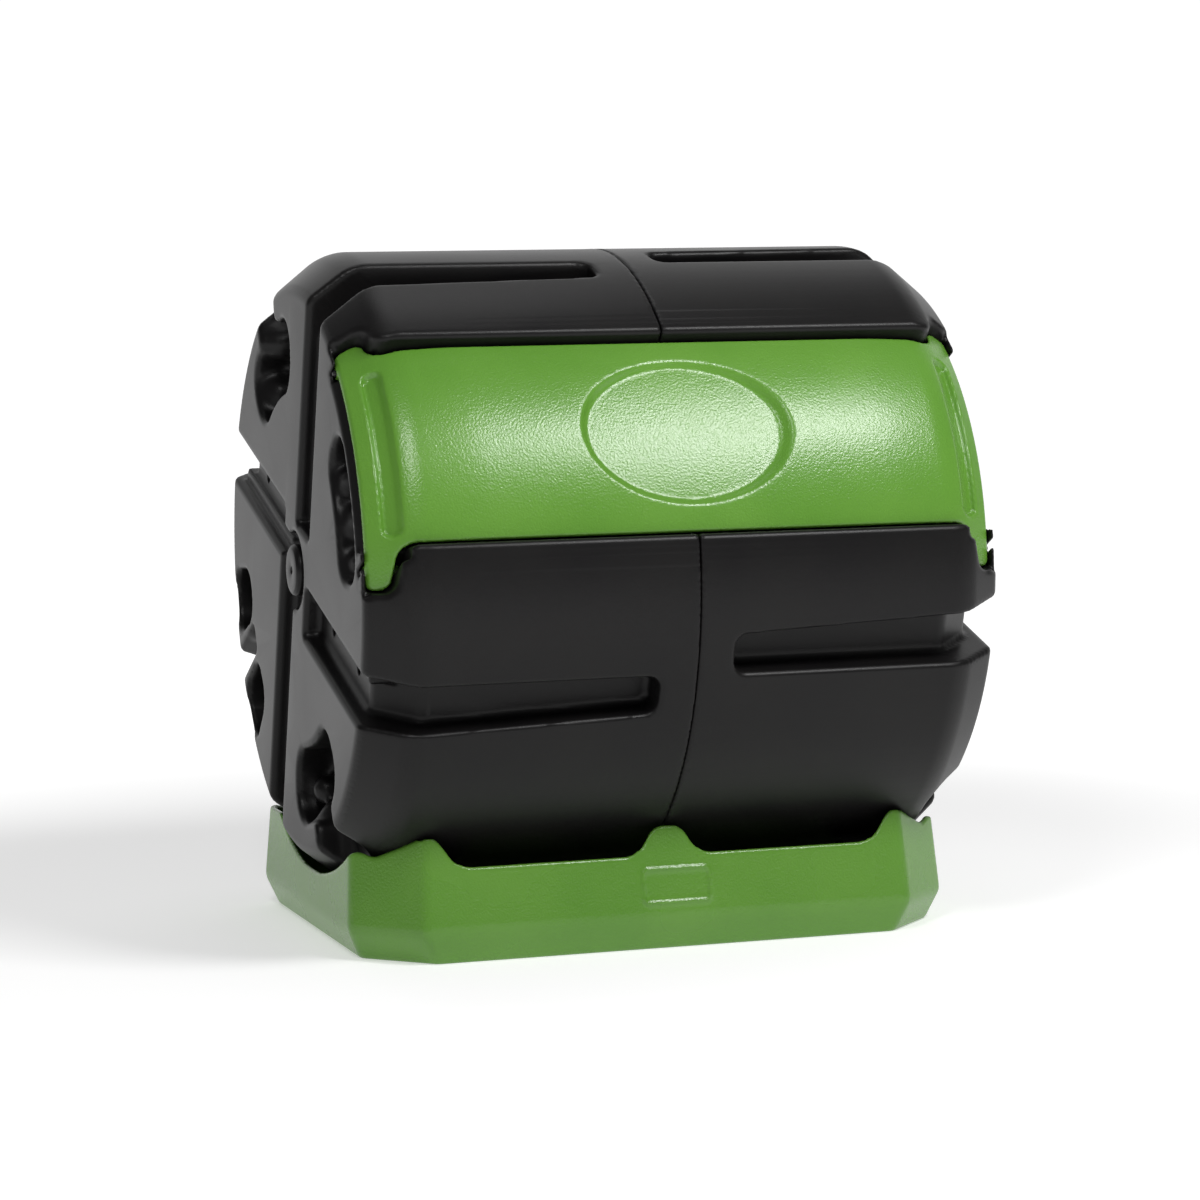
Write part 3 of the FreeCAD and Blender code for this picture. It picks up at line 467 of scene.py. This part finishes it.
# %% [markdown]
# ## The tray
# The tray is a tub with its front corners cut off and a fold round it. Its thin rim rises to a peak
# at each corner and a hump in the middle, and its hollowed ends follow the drum. Its rim is a height
# curve along the tray, so the wall is cut by the distance from that curve.

# %% Sizes of the tray's details
TRAY_FOOT, TRAY_FOLD, TRAY_RIM = (273.0, 192.0), (285.0, 200.0), (280.0, 188.0)
FOLD_HEIGHT, TRAY_WALL, CORNER_CUT, BACK_CORNER = 28.0, 4.0, 56.0, 9.0
DRUM_ROOM, END_SCALLOP = 292.5, 278.0
RIM = ((0, 111), (8, 111), (16, 106), (24, 92), (36, 85), (188, 85), (200, 90), (213, 109), (217, 112),
       (227, 112), (232, 109), (262, 92), (272, 97), (300, 97))
LABEL_MIDDLE, LABEL_HALF, LABEL_LINE, LABEL_DEPTH = (6.0, 57.5), (31.5, 15.0), 2.4, 2.2


# The rim's corners are eased over a few millimetres, and its edges are rounded.
RIM_EASE, RIM_EDGE = 2.4, 1.9
RIB_WALL, RIB_HALF, RIB_ABOVE, AXLE_BORE = 6.0, 15.0, 8.8, 4.0


# %% The tray's field
def tray_outline(x, y, half, inset):
    """The tray's outline: both front corners are cut off wide, the back ones barely."""
    length, width = half[0] - inset, half[1] - inset
    sides = cut_round(np.abs(x) - length, np.abs(y) - width, 2.0)
    corner = np.where(y < 0, CORNER_CUT, BACK_CORNER)
    cut = (np.abs(x) + np.abs(y) - (length + width - corner)) / math.sqrt(2)
    return cut_round(sides, cut, 4.0)


def tub(x, y, z, inset):
    """The tray's block, with sides that lean out to the fold and in above it."""
    lean_low = (z - FOLD_HEIGHT) / FOLD_HEIGHT
    lean_high = (z - FOLD_HEIGHT) / (TRAY_TOP - FOLD_HEIGHT)
    low_half = [fold + (fold - foot) * lean_low for fold, foot in zip(TRAY_FOLD, TRAY_FOOT)]
    high_half = [fold + (rim - fold) * lean_high for fold, rim in zip(TRAY_FOLD, TRAY_RIM)]
    return cut_round(tray_outline(x, y, low_half, inset), tray_outline(x, y, high_half, inset), 3.0)


def smoothed_rim(x):
    """The rim's height along the tray, its corners eased, with the slope's length factor."""
    fine = np.arange(-310, 311, 1.0)  # every millimetre, past both ends of the tray
    height = np.interp(np.abs(fine), *zip(*RIM))
    reach = math.ceil(5 * RIM_EASE)
    spread = np.exp(-0.5 * (np.arange(-reach, reach + 1) / RIM_EASE) ** 2)
    height = np.convolve(np.pad(height, reach, mode="edge"), spread / spread.sum(), mode="valid")
    steep = np.hypot(1, np.gradient(height))
    return np.interp(x, fine, height), np.interp(x, fine, steep)


def tray_field(x, y, z):
    """The tray's wall, floor and ribs."""
    outside = cut_round(tub(x, y, z, 0.0), -z, 3.0)
    inside = cut_round(tub(x, y, z, TRAY_WALL), TRAY_WALL - z, 6.0)
    label = rounded_plate(x - LABEL_MIDDLE[0], z - LABEL_MIDDLE[1], *LABEL_HALF, 5.0)
    outside = outside - LABEL_DEPTH * eased(1 - np.abs(label) / LABEL_LINE) * (y < 0)
    shell = np.maximum(outside, -inside)
    for middle in roller_middles.values():
        for side in (-1, 1):
            rib = np.maximum(np.abs(x - middle.x - side * RIB_PLACE) - RIB_WALL / 2,
                             np.abs(y - middle.y) - RIB_HALF)
            rib = cut_round(rib, z - middle.z - RIB_ABOVE, 3.0)
            shell = join_round(shell, np.maximum(rib, 1.0 - z), 2.0)
    height, steep = smoothed_rim(x)
    shell = take_away(shell, (height - z) / steep, RIM_EDGE)
    radius = np.hypot(y, z - AXLE)
    shell = take_away(shell, radius - END_SCALLOP, RIM_EDGE)
    shell = take_away(shell, np.maximum(radius - DRUM_ROOM, np.abs(x) - OPENING_END), 1.0)
    for middle in roller_middles.values():
        bore = np.hypot(y - middle.y, z - middle.z) - AXLE_BORE
        shell = np.maximum(shell, -np.maximum(bore, np.abs(x - middle.x) - RIB_PLACE - RIB_WALL))
    return shell


# %% Mesh the tray
roller_middles, roller_halves = {}, {}
for place in ("front_left", "front_right", "back_left", "back_right"):
    low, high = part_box("roller_" + place)
    roller_middles[place] = (low + high) / 2 / MM
    roller_halves[place] = (high - low) / 2 / MM
ROLLER_HALF, ROLLER_RADIUS = roller_halves["front_left"].x, roller_halves["front_left"].z
RIB_PLACE = ROLLER_HALF + 1.5 + RIB_WALL / 2

TRAY_STEP = 2.0
tray_lines = [grid_line(-TRAY_HALF.x, TRAY_HALF.x, TRAY_STEP),
              grid_line(-TRAY_HALF.y, TRAY_HALF.y, TRAY_STEP), grid_line(0, TRAY_TOP, TRAY_STEP)]
tray_grid = np.meshgrid(*tray_lines, indexing="ij", sparse=True)
tray = mesh_of_field("tray_shell", tray_field(*tray_grid), tray_lines, Matrix.Identity(4), MOST_TRIANGLES)

# %% [markdown]
# ## Materials
# Two moulded plastics make up nearly all that is seen. Both are polypropylene: the black barrel has
# a fine spark-eroded grain that breaks its reflections into a satin, and the green door and tray
# have a coarser pebble and more gloss, so that a lamp shows as a broad sparkling patch. The grain
# is a bump from noise in object coordinates, which stay put when a piece turns with its body.

# %% Colour and node helpers
def to_linear(code):
    """An sRGB hex colour as linear RGBA."""
    values = [int(code[i:i + 2], 16) / 255 for i in (1, 3, 5)]
    return tuple(v / 12.92 if v <= 0.04045 else ((v + 0.055) / 1.055) ** 2.4 for v in values) + (1.0,)


def add_node(tree, kind, settings=None, inputs=None, links=()):
    """Add one node with its settings and input values, and link outputs to its inputs."""
    made = tree.nodes.new(kind)
    for name, value in (settings or {}).items():
        setattr(made, name, value)
    for name, value in (inputs or {}).items():
        made.inputs[name].default_value = value
    for name, output in links:
        tree.links.new(output, made.inputs[name])
    return made


def moulded_plastic(name, shade, light_shade, grain_mm, grain_height_mm, roughness, gloss, patch_mm):
    """Moulded plastic: two near shades in soft patches, and a grain pressed in by the mould."""
    smoother, rougher = roughness - 0.03, roughness + 0.03
    material = bpy.data.materials.new(name)
    material.use_nodes = True
    tree = material.node_tree
    shader = tree.nodes["Principled BSDF"]
    shader.inputs["Specular IOR Level"].default_value = gloss
    place = add_node(tree, "ShaderNodeTexCoord").outputs["Object"]
    patches = add_node(tree, "ShaderNodeTexNoise", inputs={"Scale": 1 / (patch_mm * MM), "Detail": 3.0},
                       links=[("Vector", place)])
    colour = add_node(tree, "ShaderNodeValToRGB", links=[("Fac", patches.outputs["Fac"])])
    for stop, where, code in zip(colour.color_ramp.elements, (0.35, 0.65), (shade, light_shade)):
        stop.position = where
        stop.color = to_linear(code)
    tree.links.new(colour.outputs["Color"], shader.inputs["Base Color"])
    sheen = add_node(tree, "ShaderNodeMapRange", inputs={"To Min": smoother, "To Max": rougher},
                     links=[("Value", patches.outputs["Fac"])])
    tree.links.new(sheen.outputs["Result"], shader.inputs["Roughness"])
    grain = add_node(tree, "ShaderNodeTexNoise", inputs={"Scale": 1 / (grain_mm * MM), "Detail": 2.0,
                                                         "Roughness": 0.45}, links=[("Vector", place)])
    bump = add_node(tree, "ShaderNodeBump", inputs={"Strength": 1.0, "Distance": grain_height_mm * MM},
                    links=[("Height", grain.outputs["Fac"])])
    tree.links.new(bump.outputs["Normal"], shader.inputs["Normal"])
    return material


def bare_metal(name, shade, roughness, mark_mm):
    """Plated or drawn steel, its roughness broken by fine marks."""
    smoother, rougher = roughness - 0.08, roughness + 0.1
    material = bpy.data.materials.new(name)
    material.use_nodes = True
    tree = material.node_tree
    shader = tree.nodes["Principled BSDF"]
    shader.inputs["Metallic"].default_value = 1.0
    shader.inputs["Base Color"].default_value = to_linear(shade)
    place = add_node(tree, "ShaderNodeTexCoord").outputs["Object"]
    marks = add_node(tree, "ShaderNodeTexNoise", inputs={"Scale": 1 / (mark_mm * MM), "Detail": 2.0},
                     links=[("Vector", place)])
    rough = add_node(tree, "ShaderNodeMapRange", inputs={"To Min": smoother, "To Max": rougher},
                     links=[("Value", marks.outputs["Fac"])])
    tree.links.new(rough.outputs["Result"], shader.inputs["Roughness"])
    return material


# %% The finishes
# Black polypropylene, blow-moulded: near black with a satin bloom that greys at grazing angles.
black_polypropylene = moulded_plastic("black_polypropylene", "#0E0D0E", "#121111", 1.1, 0.1, 0.38, 0.22, 90)
# Green polypropylene, injection-moulded: pebbled, semi-gloss, with a clear highlight.
green_polypropylene = moulded_plastic("green_polypropylene", "#588A2E", "#5F9033", 2.0, 0.3, 0.27, 0.5, 120)
# Turned acetal for rollers and pins: smoother and a little glossier than the barrel.
black_acetal = moulded_plastic("black_acetal", "#1F1F20", "#242425", 0.6, 0.02, 0.32, 0.5, 25)
# Bright zinc plating on the axles, screws and nuts: pale, slightly cloudy metal.
zinc_plated_steel = bare_metal("zinc_plated_steel", "#C3C6CA", 0.3, 3.0)
# Drawn spring wire: darker, with fine drawing marks.
spring_wire = bare_metal("spring_wire", "#8C8D90", 0.28, 0.8)
print("materials:", [material.name for material in bpy.data.materials])


def finish_with(piece, material, slot, body, *replaced):
    """Give a piece its finish, the body it rides on and the nodes it stands for; the slot is not used."""
    piece.data.materials.clear()
    piece.data.materials.append(material)
    if replaced:
        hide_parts(*replaced)
    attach(piece, body)


for side_name, half in halves.items():
    finish_with(half, black_polypropylene, "drum_plastic", "drum", "drum_half_" + side_name)
finish_with(door, green_polypropylene, "green_plastic", "door", "door_panel")
finish_with(tray, green_polypropylene, "green_plastic", "base", "base_tray")

for node_name, node_object in frame["nodes"].items():
    for start, material in (("axle", zinc_plated_steel), ("catch_pin", black_acetal)):
        if node_name.startswith(start):
            node_object.data.materials.clear()
            node_object.data.materials.append(material)

# %% [markdown]
# ## Turned pieces
# Hub plugs, rollers and screws are round about an axis, so each is a short outline of
# (along, radius) pairs spun about X, as a lathe or a turned mould would make it. Their small
# edge radii come from a bevel, which catches a thin line of light.

# %% Spin an outline about X
def spun(name, outline, segments, bevel_mm):
    """A closed solid from a closed outline of (along, radius) pairs in millimetres."""
    shape = bmesh.new()
    rings = []
    for step in range(segments):
        a = 2 * math.pi * step / segments
        rings.append([shape.verts.new((along * MM, radius * math.sin(a) * MM, radius * math.cos(a) * MM))
                      for along, radius in outline])
    for ring, following in zip(rings, rings[1:] + rings[:1]):
        for index in range(len(outline)):
            after = (index + 1) % len(outline)
            corners = [ring[index], ring[after], following[after], following[index]]
            shape.faces.new(corners)
    bmesh.ops.remove_doubles(shape, verts=shape.verts, dist=1e-7)
    bmesh.ops.recalc_face_normals(shape, faces=shape.faces)
    mesh = bpy.data.meshes.new(name)
    shape.to_mesh(mesh)
    shape.free()
    piece = bpy.data.objects.new(name, mesh)
    bpy.context.scene.collection.objects.link(piece)
    rounding = piece.modifiers.new("rounding", "BEVEL")
    rounding.width = bevel_mm * MM
    rounding.segments = 2
    rounding.limit_method = "ANGLE"
    rounding.angle_limit = math.radians(25)
    made_plain(piece)
    piece.data.polygons.foreach_set("use_smooth", [True] * len(piece.data.polygons))
    return piece


# %% Hub plugs
HEAD_RADIUS = (plug_high.z - plug_low.z) / 2 / MM
PLUG_FACE = plug_high.x / MM
PLUG_SEAT = HALF_LENGTH - HUB_RECESS_DEPTH
AIR_HOLE, SHANK, LIP = 2.5, 12.0, 1.0
# The shank's lip snaps in behind the wall and ends the plug.
LIP_START, PLUG_END = PLUG_SEAT - 4.5, PLUG_SEAT - 7.5
# The head's face is slightly dished, with a dimple round the air hole.
plug_outline = [(PLUG_END, AIR_HOLE), (PLUG_FACE - 2.2, AIR_HOLE), (PLUG_FACE - 0.8, AIR_HOLE + 1.6),
                (PLUG_FACE - 0.3, 9.0), (PLUG_FACE, 17.0), (PLUG_FACE - 0.6, 20.5),
                (PLUG_FACE - 2.2, HEAD_RADIUS - 1.2), (PLUG_FACE - 4.6, HEAD_RADIUS),
                (PLUG_SEAT, HEAD_RADIUS), (PLUG_SEAT, SHANK), (LIP_START, SHANK),
                (LIP_START, SHANK + LIP), (PLUG_END, SHANK)]
for side, side_name in ((-1, "left"), (1, "right")):
    plug = spun("hub_cap_" + side_name, plug_outline, 96, 0.4)
    plug.data.transform(DRUM_PLACE @ Matrix.Rotation(math.pi if side < 0 else 0, 4, "Y"))
    finish_with(plug, black_polypropylene, "drum_plastic", "drum", "hub_plug_" + side_name)
print("hub plugs stand", round(PLUG_FACE - HALF_LENGTH, 1), "mm proud of the end faces")

# %% [markdown]
# ## Repeats with Geometry Nodes
# The seam has eleven screws with their nuts, each roller has ribs round its hub, and each catch
# has a wound spring. Each of these follows a rule, so each is one small node tree with named
# inputs for its sizes. Each result is made a plain mesh.

# %% Build and run a geometry tree
def new_tree(name, sockets):
    """An empty geometry tree with named inputs, its input node and its output node."""
    tree = bpy.data.node_groups.new(name, "GeometryNodeTree")
    tree.interface.new_socket("Geometry", in_out="OUTPUT", socket_type="NodeSocketGeometry")
    for socket_name, kind in sockets:
        tree.interface.new_socket(socket_name, in_out="INPUT", socket_type="NodeSocket" + kind)
    return tree, tree.nodes.new("NodeGroupInput").outputs, tree.nodes.new("NodeGroupOutput")


def close_tree(tree, output, geometry, material_socket):
    """Realize instances, set the material and lead the geometry out."""
    real = add_node(tree, "GeometryNodeRealizeInstances", links=[("Geometry", geometry)])
    painted = add_node(tree, "GeometryNodeSetMaterial", links=[("Geometry", real.outputs["Geometry"]),
                                                               ("Material", material_socket)])
    tree.links.new(painted.outputs["Geometry"], output.inputs["Geometry"])


def grown(name, tree, values):
    """A plain mesh piece grown by a tree with these input values."""
    piece = bpy.data.objects.new(name, bpy.data.meshes.new(name))
    bpy.context.scene.collection.objects.link(piece)
    growth = piece.modifiers.new("growth", "NODES")
    growth.node_group = tree
    for item in tree.interface.items_tree:
        if item.in_out == "INPUT":
            growth[item.identifier] = values[item.name]
    made_plain(piece)
    print(f"{name}: {len(piece.data.polygons)} faces")
    return piece


# %% The ring tree: copies of a piece round the X axis
def ring_tree():
    """Copies stand on a ring about X, each turned with its place."""
    tree, inputs, output = new_tree("ring_of_pieces", [("Piece", "Object"), ("Count", "Int"),
                                                       ("First Angle", "Float"), ("Step Angle", "Float"),
                                                       ("Ring Radius", "Float"), ("Material", "Material")])
    line = add_node(tree, "GeometryNodeMeshLine", links=[("Count", inputs["Count"])])
    number = add_node(tree, "GeometryNodeInputIndex").outputs["Index"]
    angle = add_node(tree, "ShaderNodeMath", {"operation": "MULTIPLY_ADD"},
                     links=[(0, number), (1, inputs["Step Angle"]), (2, inputs["First Angle"])])
    trig = {}
    for kind in ("SINE", "COSINE"):
        wave = add_node(tree, "ShaderNodeMath", {"operation": kind}, links=[(0, angle.outputs[0])])
        scaled = add_node(tree, "ShaderNodeMath", {"operation": "MULTIPLY"},
                          links=[(0, wave.outputs[0]), (1, inputs["Ring Radius"])])
        trig[kind] = scaled.outputs[0]
    place = add_node(tree, "ShaderNodeCombineXYZ", links=[("Y", trig["SINE"]), ("Z", trig["COSINE"])])
    placed = add_node(tree, "GeometryNodeSetPosition", links=[("Geometry", line.outputs["Mesh"]),
                                                              ("Position", place.outputs["Vector"])])
    back_turn = add_node(tree, "ShaderNodeMath", {"operation": "MULTIPLY"}, {1: -1.0},
                         [(0, angle.outputs[0])])
    facing = add_node(tree, "ShaderNodeCombineXYZ", links=[("X", back_turn.outputs[0])])
    piece = add_node(tree, "GeometryNodeObjectInfo", links=[("Object", inputs["Piece"])])
    copies = add_node(tree, "GeometryNodeInstanceOnPoints",
                      links=[("Points", placed.outputs["Geometry"]),
                             ("Instance", piece.outputs["Geometry"]),
                             ("Rotation", facing.outputs["Vector"])])
    close_tree(tree, output, copies.outputs["Instances"], inputs["Material"])
    return tree


ring_of_pieces = ring_tree()

# %% Seam screws and nuts
SEAM_FIRST = FLANGE_START + 8
SEAM_STEP = (360 - 2 * SEAM_FIRST) / (SCREW_COUNT - 1)
HEX_RADIUS = SCREW_RADIUS * 3.2 / 2 / math.cos(math.radians(30))
# Head and nut sit against the two flanges, whose wall on each side of the seam sets their places.
HEAD_TOP, NUT_TOP, SCREW_TIP = -8.5, 9.0, 12.0
hex_head = [(HEAD_TOP, 0.0), (-FLANGE_WALL, 0.0), (-FLANGE_WALL, HEX_RADIUS), (HEAD_TOP + 0.7, HEX_RADIUS),
            (HEAD_TOP, HEX_RADIUS * 0.86)]
shank = [(-FLANGE_WALL - 0.2, 0.0), (SCREW_TIP, 0.0), (SCREW_TIP, SCREW_RADIUS - 0.8),
         (SCREW_TIP - 0.8, SCREW_RADIUS), (-FLANGE_WALL - 0.2, SCREW_RADIUS)]
hex_nut = [(FLANGE_WALL, SCREW_RADIUS), (NUT_TOP, SCREW_RADIUS), (NUT_TOP, HEX_RADIUS * 0.88),
           (NUT_TOP - 0.6, HEX_RADIUS), (FLANGE_WALL, HEX_RADIUS)]


def joined_mesh(name, pieces):
    """Several pieces as one object with one mesh."""
    shape = bmesh.new()
    for piece in pieces:
        shape.from_mesh(piece.data)
        bpy.data.objects.remove(piece)
    mesh = bpy.data.meshes.new(name)
    shape.to_mesh(mesh)
    shape.free()
    whole = bpy.data.objects.new(name, mesh)
    bpy.context.scene.collection.objects.link(whole)
    return whole


one_screw = joined_mesh("one_screw", [spun("head", hex_head, 6, 0.25), spun("shank", shank, 24, 0.2)])
one_nut = spun("one_nut", hex_nut, 6, 0.25)
for fastener, piece_name, node_name in ((one_screw, "seam_screw_ring", "seam_screws"),
                                        (one_nut, "seam_nut_ring", "seam_nuts")):
    ring = grown(piece_name, ring_of_pieces,
                 {"Piece": fastener, "Count": SCREW_COUNT, "First Angle": math.radians(SEAM_FIRST),
                  "Step Angle": math.radians(SEAM_STEP), "Ring Radius": SCREW_RING * MM,
                  "Material": zinc_plated_steel})
    ring.data.transform(DRUM_PLACE)
    bpy.data.objects.remove(fastener)
    finish_with(ring, zinc_plated_steel, "zinc_steel", "drum", node_name)

# %% [markdown]
# ## Rollers
# Each roller is a moulded wheel: a smooth tread, a hub with the axle's bore and a thin web
# between them that ribs stiffen. The web is what saves plastic, and the ribs are what keep the
# tread round under the weight of wet compost.

# %% Make the rollers
ROLLER_RIBS, ROLLER_WEB, RIB_RING, RIB_SIZE = 8, 5.0, 14.8, (29.0, 2.4, 12.6)
roller_outline = [(-ROLLER_HALF, AXLE_BORE + 0.08), (-ROLLER_HALF, 8.8), (-ROLLER_WEB, 9.6),
                  (-ROLLER_WEB, 20.0), (-ROLLER_HALF + 0.8, 20.8), (-ROLLER_HALF, 23.2),
                  (-ROLLER_HALF + 1.8, ROLLER_RADIUS)]
roller_outline += [(-along, radius) for along, radius in reversed(roller_outline)]

rib_shape = bmesh.new()
bmesh.ops.create_cube(rib_shape, size=MM, matrix=Matrix.Diagonal((*RIB_SIZE, 1)))
bmesh.ops.bevel(rib_shape, geom=rib_shape.edges[:], offset=0.4 * MM, segments=2, affect="EDGES")
rib_mesh = bpy.data.meshes.new("one_rib")
rib_shape.to_mesh(rib_mesh)
rib_shape.free()
one_rib = bpy.data.objects.new("one_rib", rib_mesh)
bpy.context.scene.collection.objects.link(one_rib)
for place, middle in roller_middles.items():
    wheel = spun("wheel", roller_outline, 72, 0.4)
    ribs = grown("ribs", ring_of_pieces,
                 {"Piece": one_rib, "Count": ROLLER_RIBS, "First Angle": 0.0,
                  "Step Angle": 2 * math.pi / ROLLER_RIBS, "Ring Radius": RIB_RING * MM,
                  "Material": black_acetal})
    roller = joined_mesh("roller_wheel_" + place, [wheel, ribs])
    roller.data.transform(Matrix.Translation(middle * MM))
    finish_with(roller, black_acetal, "roller_plastic", "roller_" + place, "roller_" + place)
bpy.data.objects.remove(one_rib)
print("rollers", round(ROLLER_RADIUS * 2, 1), "mm across")

# %% [markdown]
# ## Catch springs
# Behind each catch pin sits a compression spring. A spring is a helix of constant pitch with a
# round section, which a spiral curve and a circular profile give exactly. It rides on the door.

# %% Wind the springs
def spring_tree():
    """A helix along Z swept with a round wire."""
    tree, inputs, output = new_tree("wound_spring", [("Turns", "Float"), ("Coil Radius", "Float"),
                                                     ("Length", "Float"), ("Wire Radius", "Float"),
                                                     ("Material", "Material")])
    helix = add_node(tree, "GeometryNodeCurveSpiral", inputs={"Resolution": 24},
                     links=[("Rotations", inputs["Turns"]), ("Start Radius", inputs["Coil Radius"]),
                            ("End Radius", inputs["Coil Radius"]), ("Height", inputs["Length"])])
    section = add_node(tree, "GeometryNodeCurvePrimitiveCircle", inputs={"Resolution": 10},
                       links=[("Radius", inputs["Wire Radius"])])
    swept = add_node(tree, "GeometryNodeCurveToMesh", inputs={"Fill Caps": True},
                     links=[("Curve", helix.outputs["Curve"]), ("Profile Curve", section.outputs["Curve"])])
    close_tree(tree, output, swept.outputs["Mesh"], inputs["Material"])
    return tree


wound_spring = spring_tree()
SPRING_WIRE, SPRING_TURNS, PIN_TRAVEL = 0.35, 6.5, 4.0
for level in ("lower", "upper"):
    for side, side_name in ((-1, "left"), (1, "right")):
        node_name = f"catch_spring_{level}_{side_name}"
        low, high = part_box(node_name)
        middle = (low + high) / 2
        length = (high.x - low.x) / MM - 2 * SPRING_WIRE
        coil = (high.z - low.z) / 2 / MM - SPRING_WIRE
        spring = grown("spring_" + level + "_" + side_name, wound_spring,
                       {"Turns": SPRING_TURNS, "Coil Radius": coil * MM, "Length": length * MM,
                        "Wire Radius": SPRING_WIRE * MM, "Material": spring_wire})
        spring.data.transform(Matrix.Translation(middle) @ Matrix.Rotation(math.radians(90), 4, "Y")
                              @ Matrix.Translation((0, 0, -length / 2 * MM)))
        spring.data.polygons.foreach_set("use_smooth", [True] * len(spring.data.polygons))
        finish_with(spring, spring_wire, "spring_steel", "door", node_name)
        anchor = (low if side > 0 else high).copy()
        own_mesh(spring)

# %% [markdown]
# ## Camera
# A long lens from about three and a half metres, a little to the left of the front and just above
# the drum's middle. The camera is turned a hair about its own axis, as a hand-levelled one is.

# %% Set up the camera
AZIMUTH, ELEVATION, ROLL = -17.93, 4.94, -0.87
LOOK_AT = Vector((0.00809, 0.02243, 0.29744))
CAMERA_DISTANCE, FIELD_OF_VIEW = 3.5095, 18.43

turn, rise = math.radians(AZIMUTH), math.radians(ELEVATION)
back = Vector((math.sin(turn) * math.cos(rise), -math.cos(turn) * math.cos(rise), math.sin(rise)))
camera = bpy.data.objects.new("camera", bpy.data.cameras.new("camera"))
bpy.context.scene.collection.objects.link(camera)
camera.location = LOOK_AT + back * CAMERA_DISTANCE
camera.rotation_euler = ((-back).to_track_quat("-Z", "Y").to_matrix()
                         @ Matrix.Rotation(math.radians(ROLL), 3, "Z")).to_euler()
camera.data.angle = math.radians(FIELD_OF_VIEW)
camera.data.clip_start, camera.data.clip_end = 0.1, 100
bpy.context.scene.camera = camera
print("camera at", [round(v, 3) for v in camera.location])

# %% [markdown]
# ## Floor and light
# Product light: a white sweep behind, three soft boxes high up and a pale room all round, so
# that satin plastic shows broad soft reflections. The room is brightest behind the object,
# because that is what greys the end faces, which are seen at a grazing angle.

# %% Floor
FLOOR_REACH, SHADE_REACH, WHITE_REACH = 30.0, 0.7, 1.8
GLOW_NEAR, GLOW_FAR = 0.42, 0.9
floor_mesh = bpy.data.meshes.new("floor")
floor_mesh.from_pydata([(-FLOOR_REACH, -FLOOR_REACH, 0), (FLOOR_REACH, -FLOOR_REACH, 0),
                        (FLOOR_REACH, FLOOR_REACH, 0), (-FLOOR_REACH, FLOOR_REACH, 0)], [], [(0, 1, 2, 3)])
floor = bpy.data.objects.new("floor", floor_mesh)
bpy.context.scene.collection.objects.link(floor)
white_paint = bpy.data.materials.new("lit_white_sweep")
white_paint.use_nodes = True
paint = white_paint.node_tree
paint_shader = paint.nodes["Principled BSDF"]
for input_name, value in (("Base Color", to_linear("#E4E4E4")), ("Roughness", 0.9),
                          ("Specular IOR Level", 0.0), ("Emission Color", (1, 1, 1, 1))):
    paint_shader.inputs[input_name].default_value = value
# The sweep glows towards its far edges, so that it meets the white room without a line.
from_middle = add_node(paint, "ShaderNodeVectorMath", {"operation": "LENGTH"},
                       links=[(0, add_node(paint, "ShaderNodeTexCoord").outputs["Object"])])
sweep_glow = add_node(paint, "ShaderNodeMapRange", {"interpolation_type": "SMOOTHSTEP"},
                      {"From Min": SHADE_REACH, "From Max": WHITE_REACH,
                       "To Min": GLOW_NEAR, "To Max": GLOW_FAR},
                      [("Value", from_middle.outputs["Value"])])
paint.links.new(sweep_glow.outputs["Result"], paint_shader.inputs["Emission Strength"])
floor_mesh.materials.append(white_paint)

# %% Room and lamps
ROOM_FRONT, ROOM_BACK = 0.14, 1.05
# The room brightens between these cosines of the angle from straight behind the object.
GLOW_EDGE, GLOW_CORE = 0.25, 0.97
world = bpy.data.worlds.new("pale_room")
bpy.context.scene.world = world
world.use_nodes = True
room = world.node_tree
direction = add_node(room, "ShaderNodeTexCoord").outputs["Generated"]
behind = add_node(room, "ShaderNodeVectorMath", {"operation": "DOT_PRODUCT"}, {1: tuple(-back)},
                  [(0, direction)])
glow = add_node(room, "ShaderNodeMapRange", {"interpolation_type": "SMOOTHSTEP"},
                {"From Min": GLOW_EDGE, "From Max": GLOW_CORE, "To Min": ROOM_FRONT, "To Max": ROOM_BACK},
                [("Value", behind.outputs["Value"])])
room.links.new(glow.outputs["Result"], room.nodes["Background"].inputs["Strength"])
room.nodes["Background"].inputs["Color"].default_value = (1, 1, 1, 1)
bpy.context.scene.view_settings.view_transform = "Standard"


def soft_box(name, place, aim, size, power):
    """A rectangular soft box that faces a point."""
    lamp = bpy.data.lights.new(name, "AREA")
    lamp.shape = "RECTANGLE"
    lamp.size, lamp.size_y = size
    lamp.energy = power
    box = bpy.data.objects.new(name, lamp)
    bpy.context.scene.collection.objects.link(box)
    box.location = place
    box.rotation_euler = (Vector(aim) - Vector(place)).to_track_quat("-Z", "Y").to_euler()
    return box


soft_box("key_box", (0.75, -1.4, 1.95), (0.1, -0.2, 0.45), (0.7, 0.5), 30)
soft_box("fill_box", (-0.9, -1.5, 1.9), (-0.1, -0.2, 0.45), (0.4, 0.6), 13)
soft_box("top_box", (0.0, 0.5, 2.3), (0.0, 0.0, 0.55), (1.0, 0.6), 3.5)
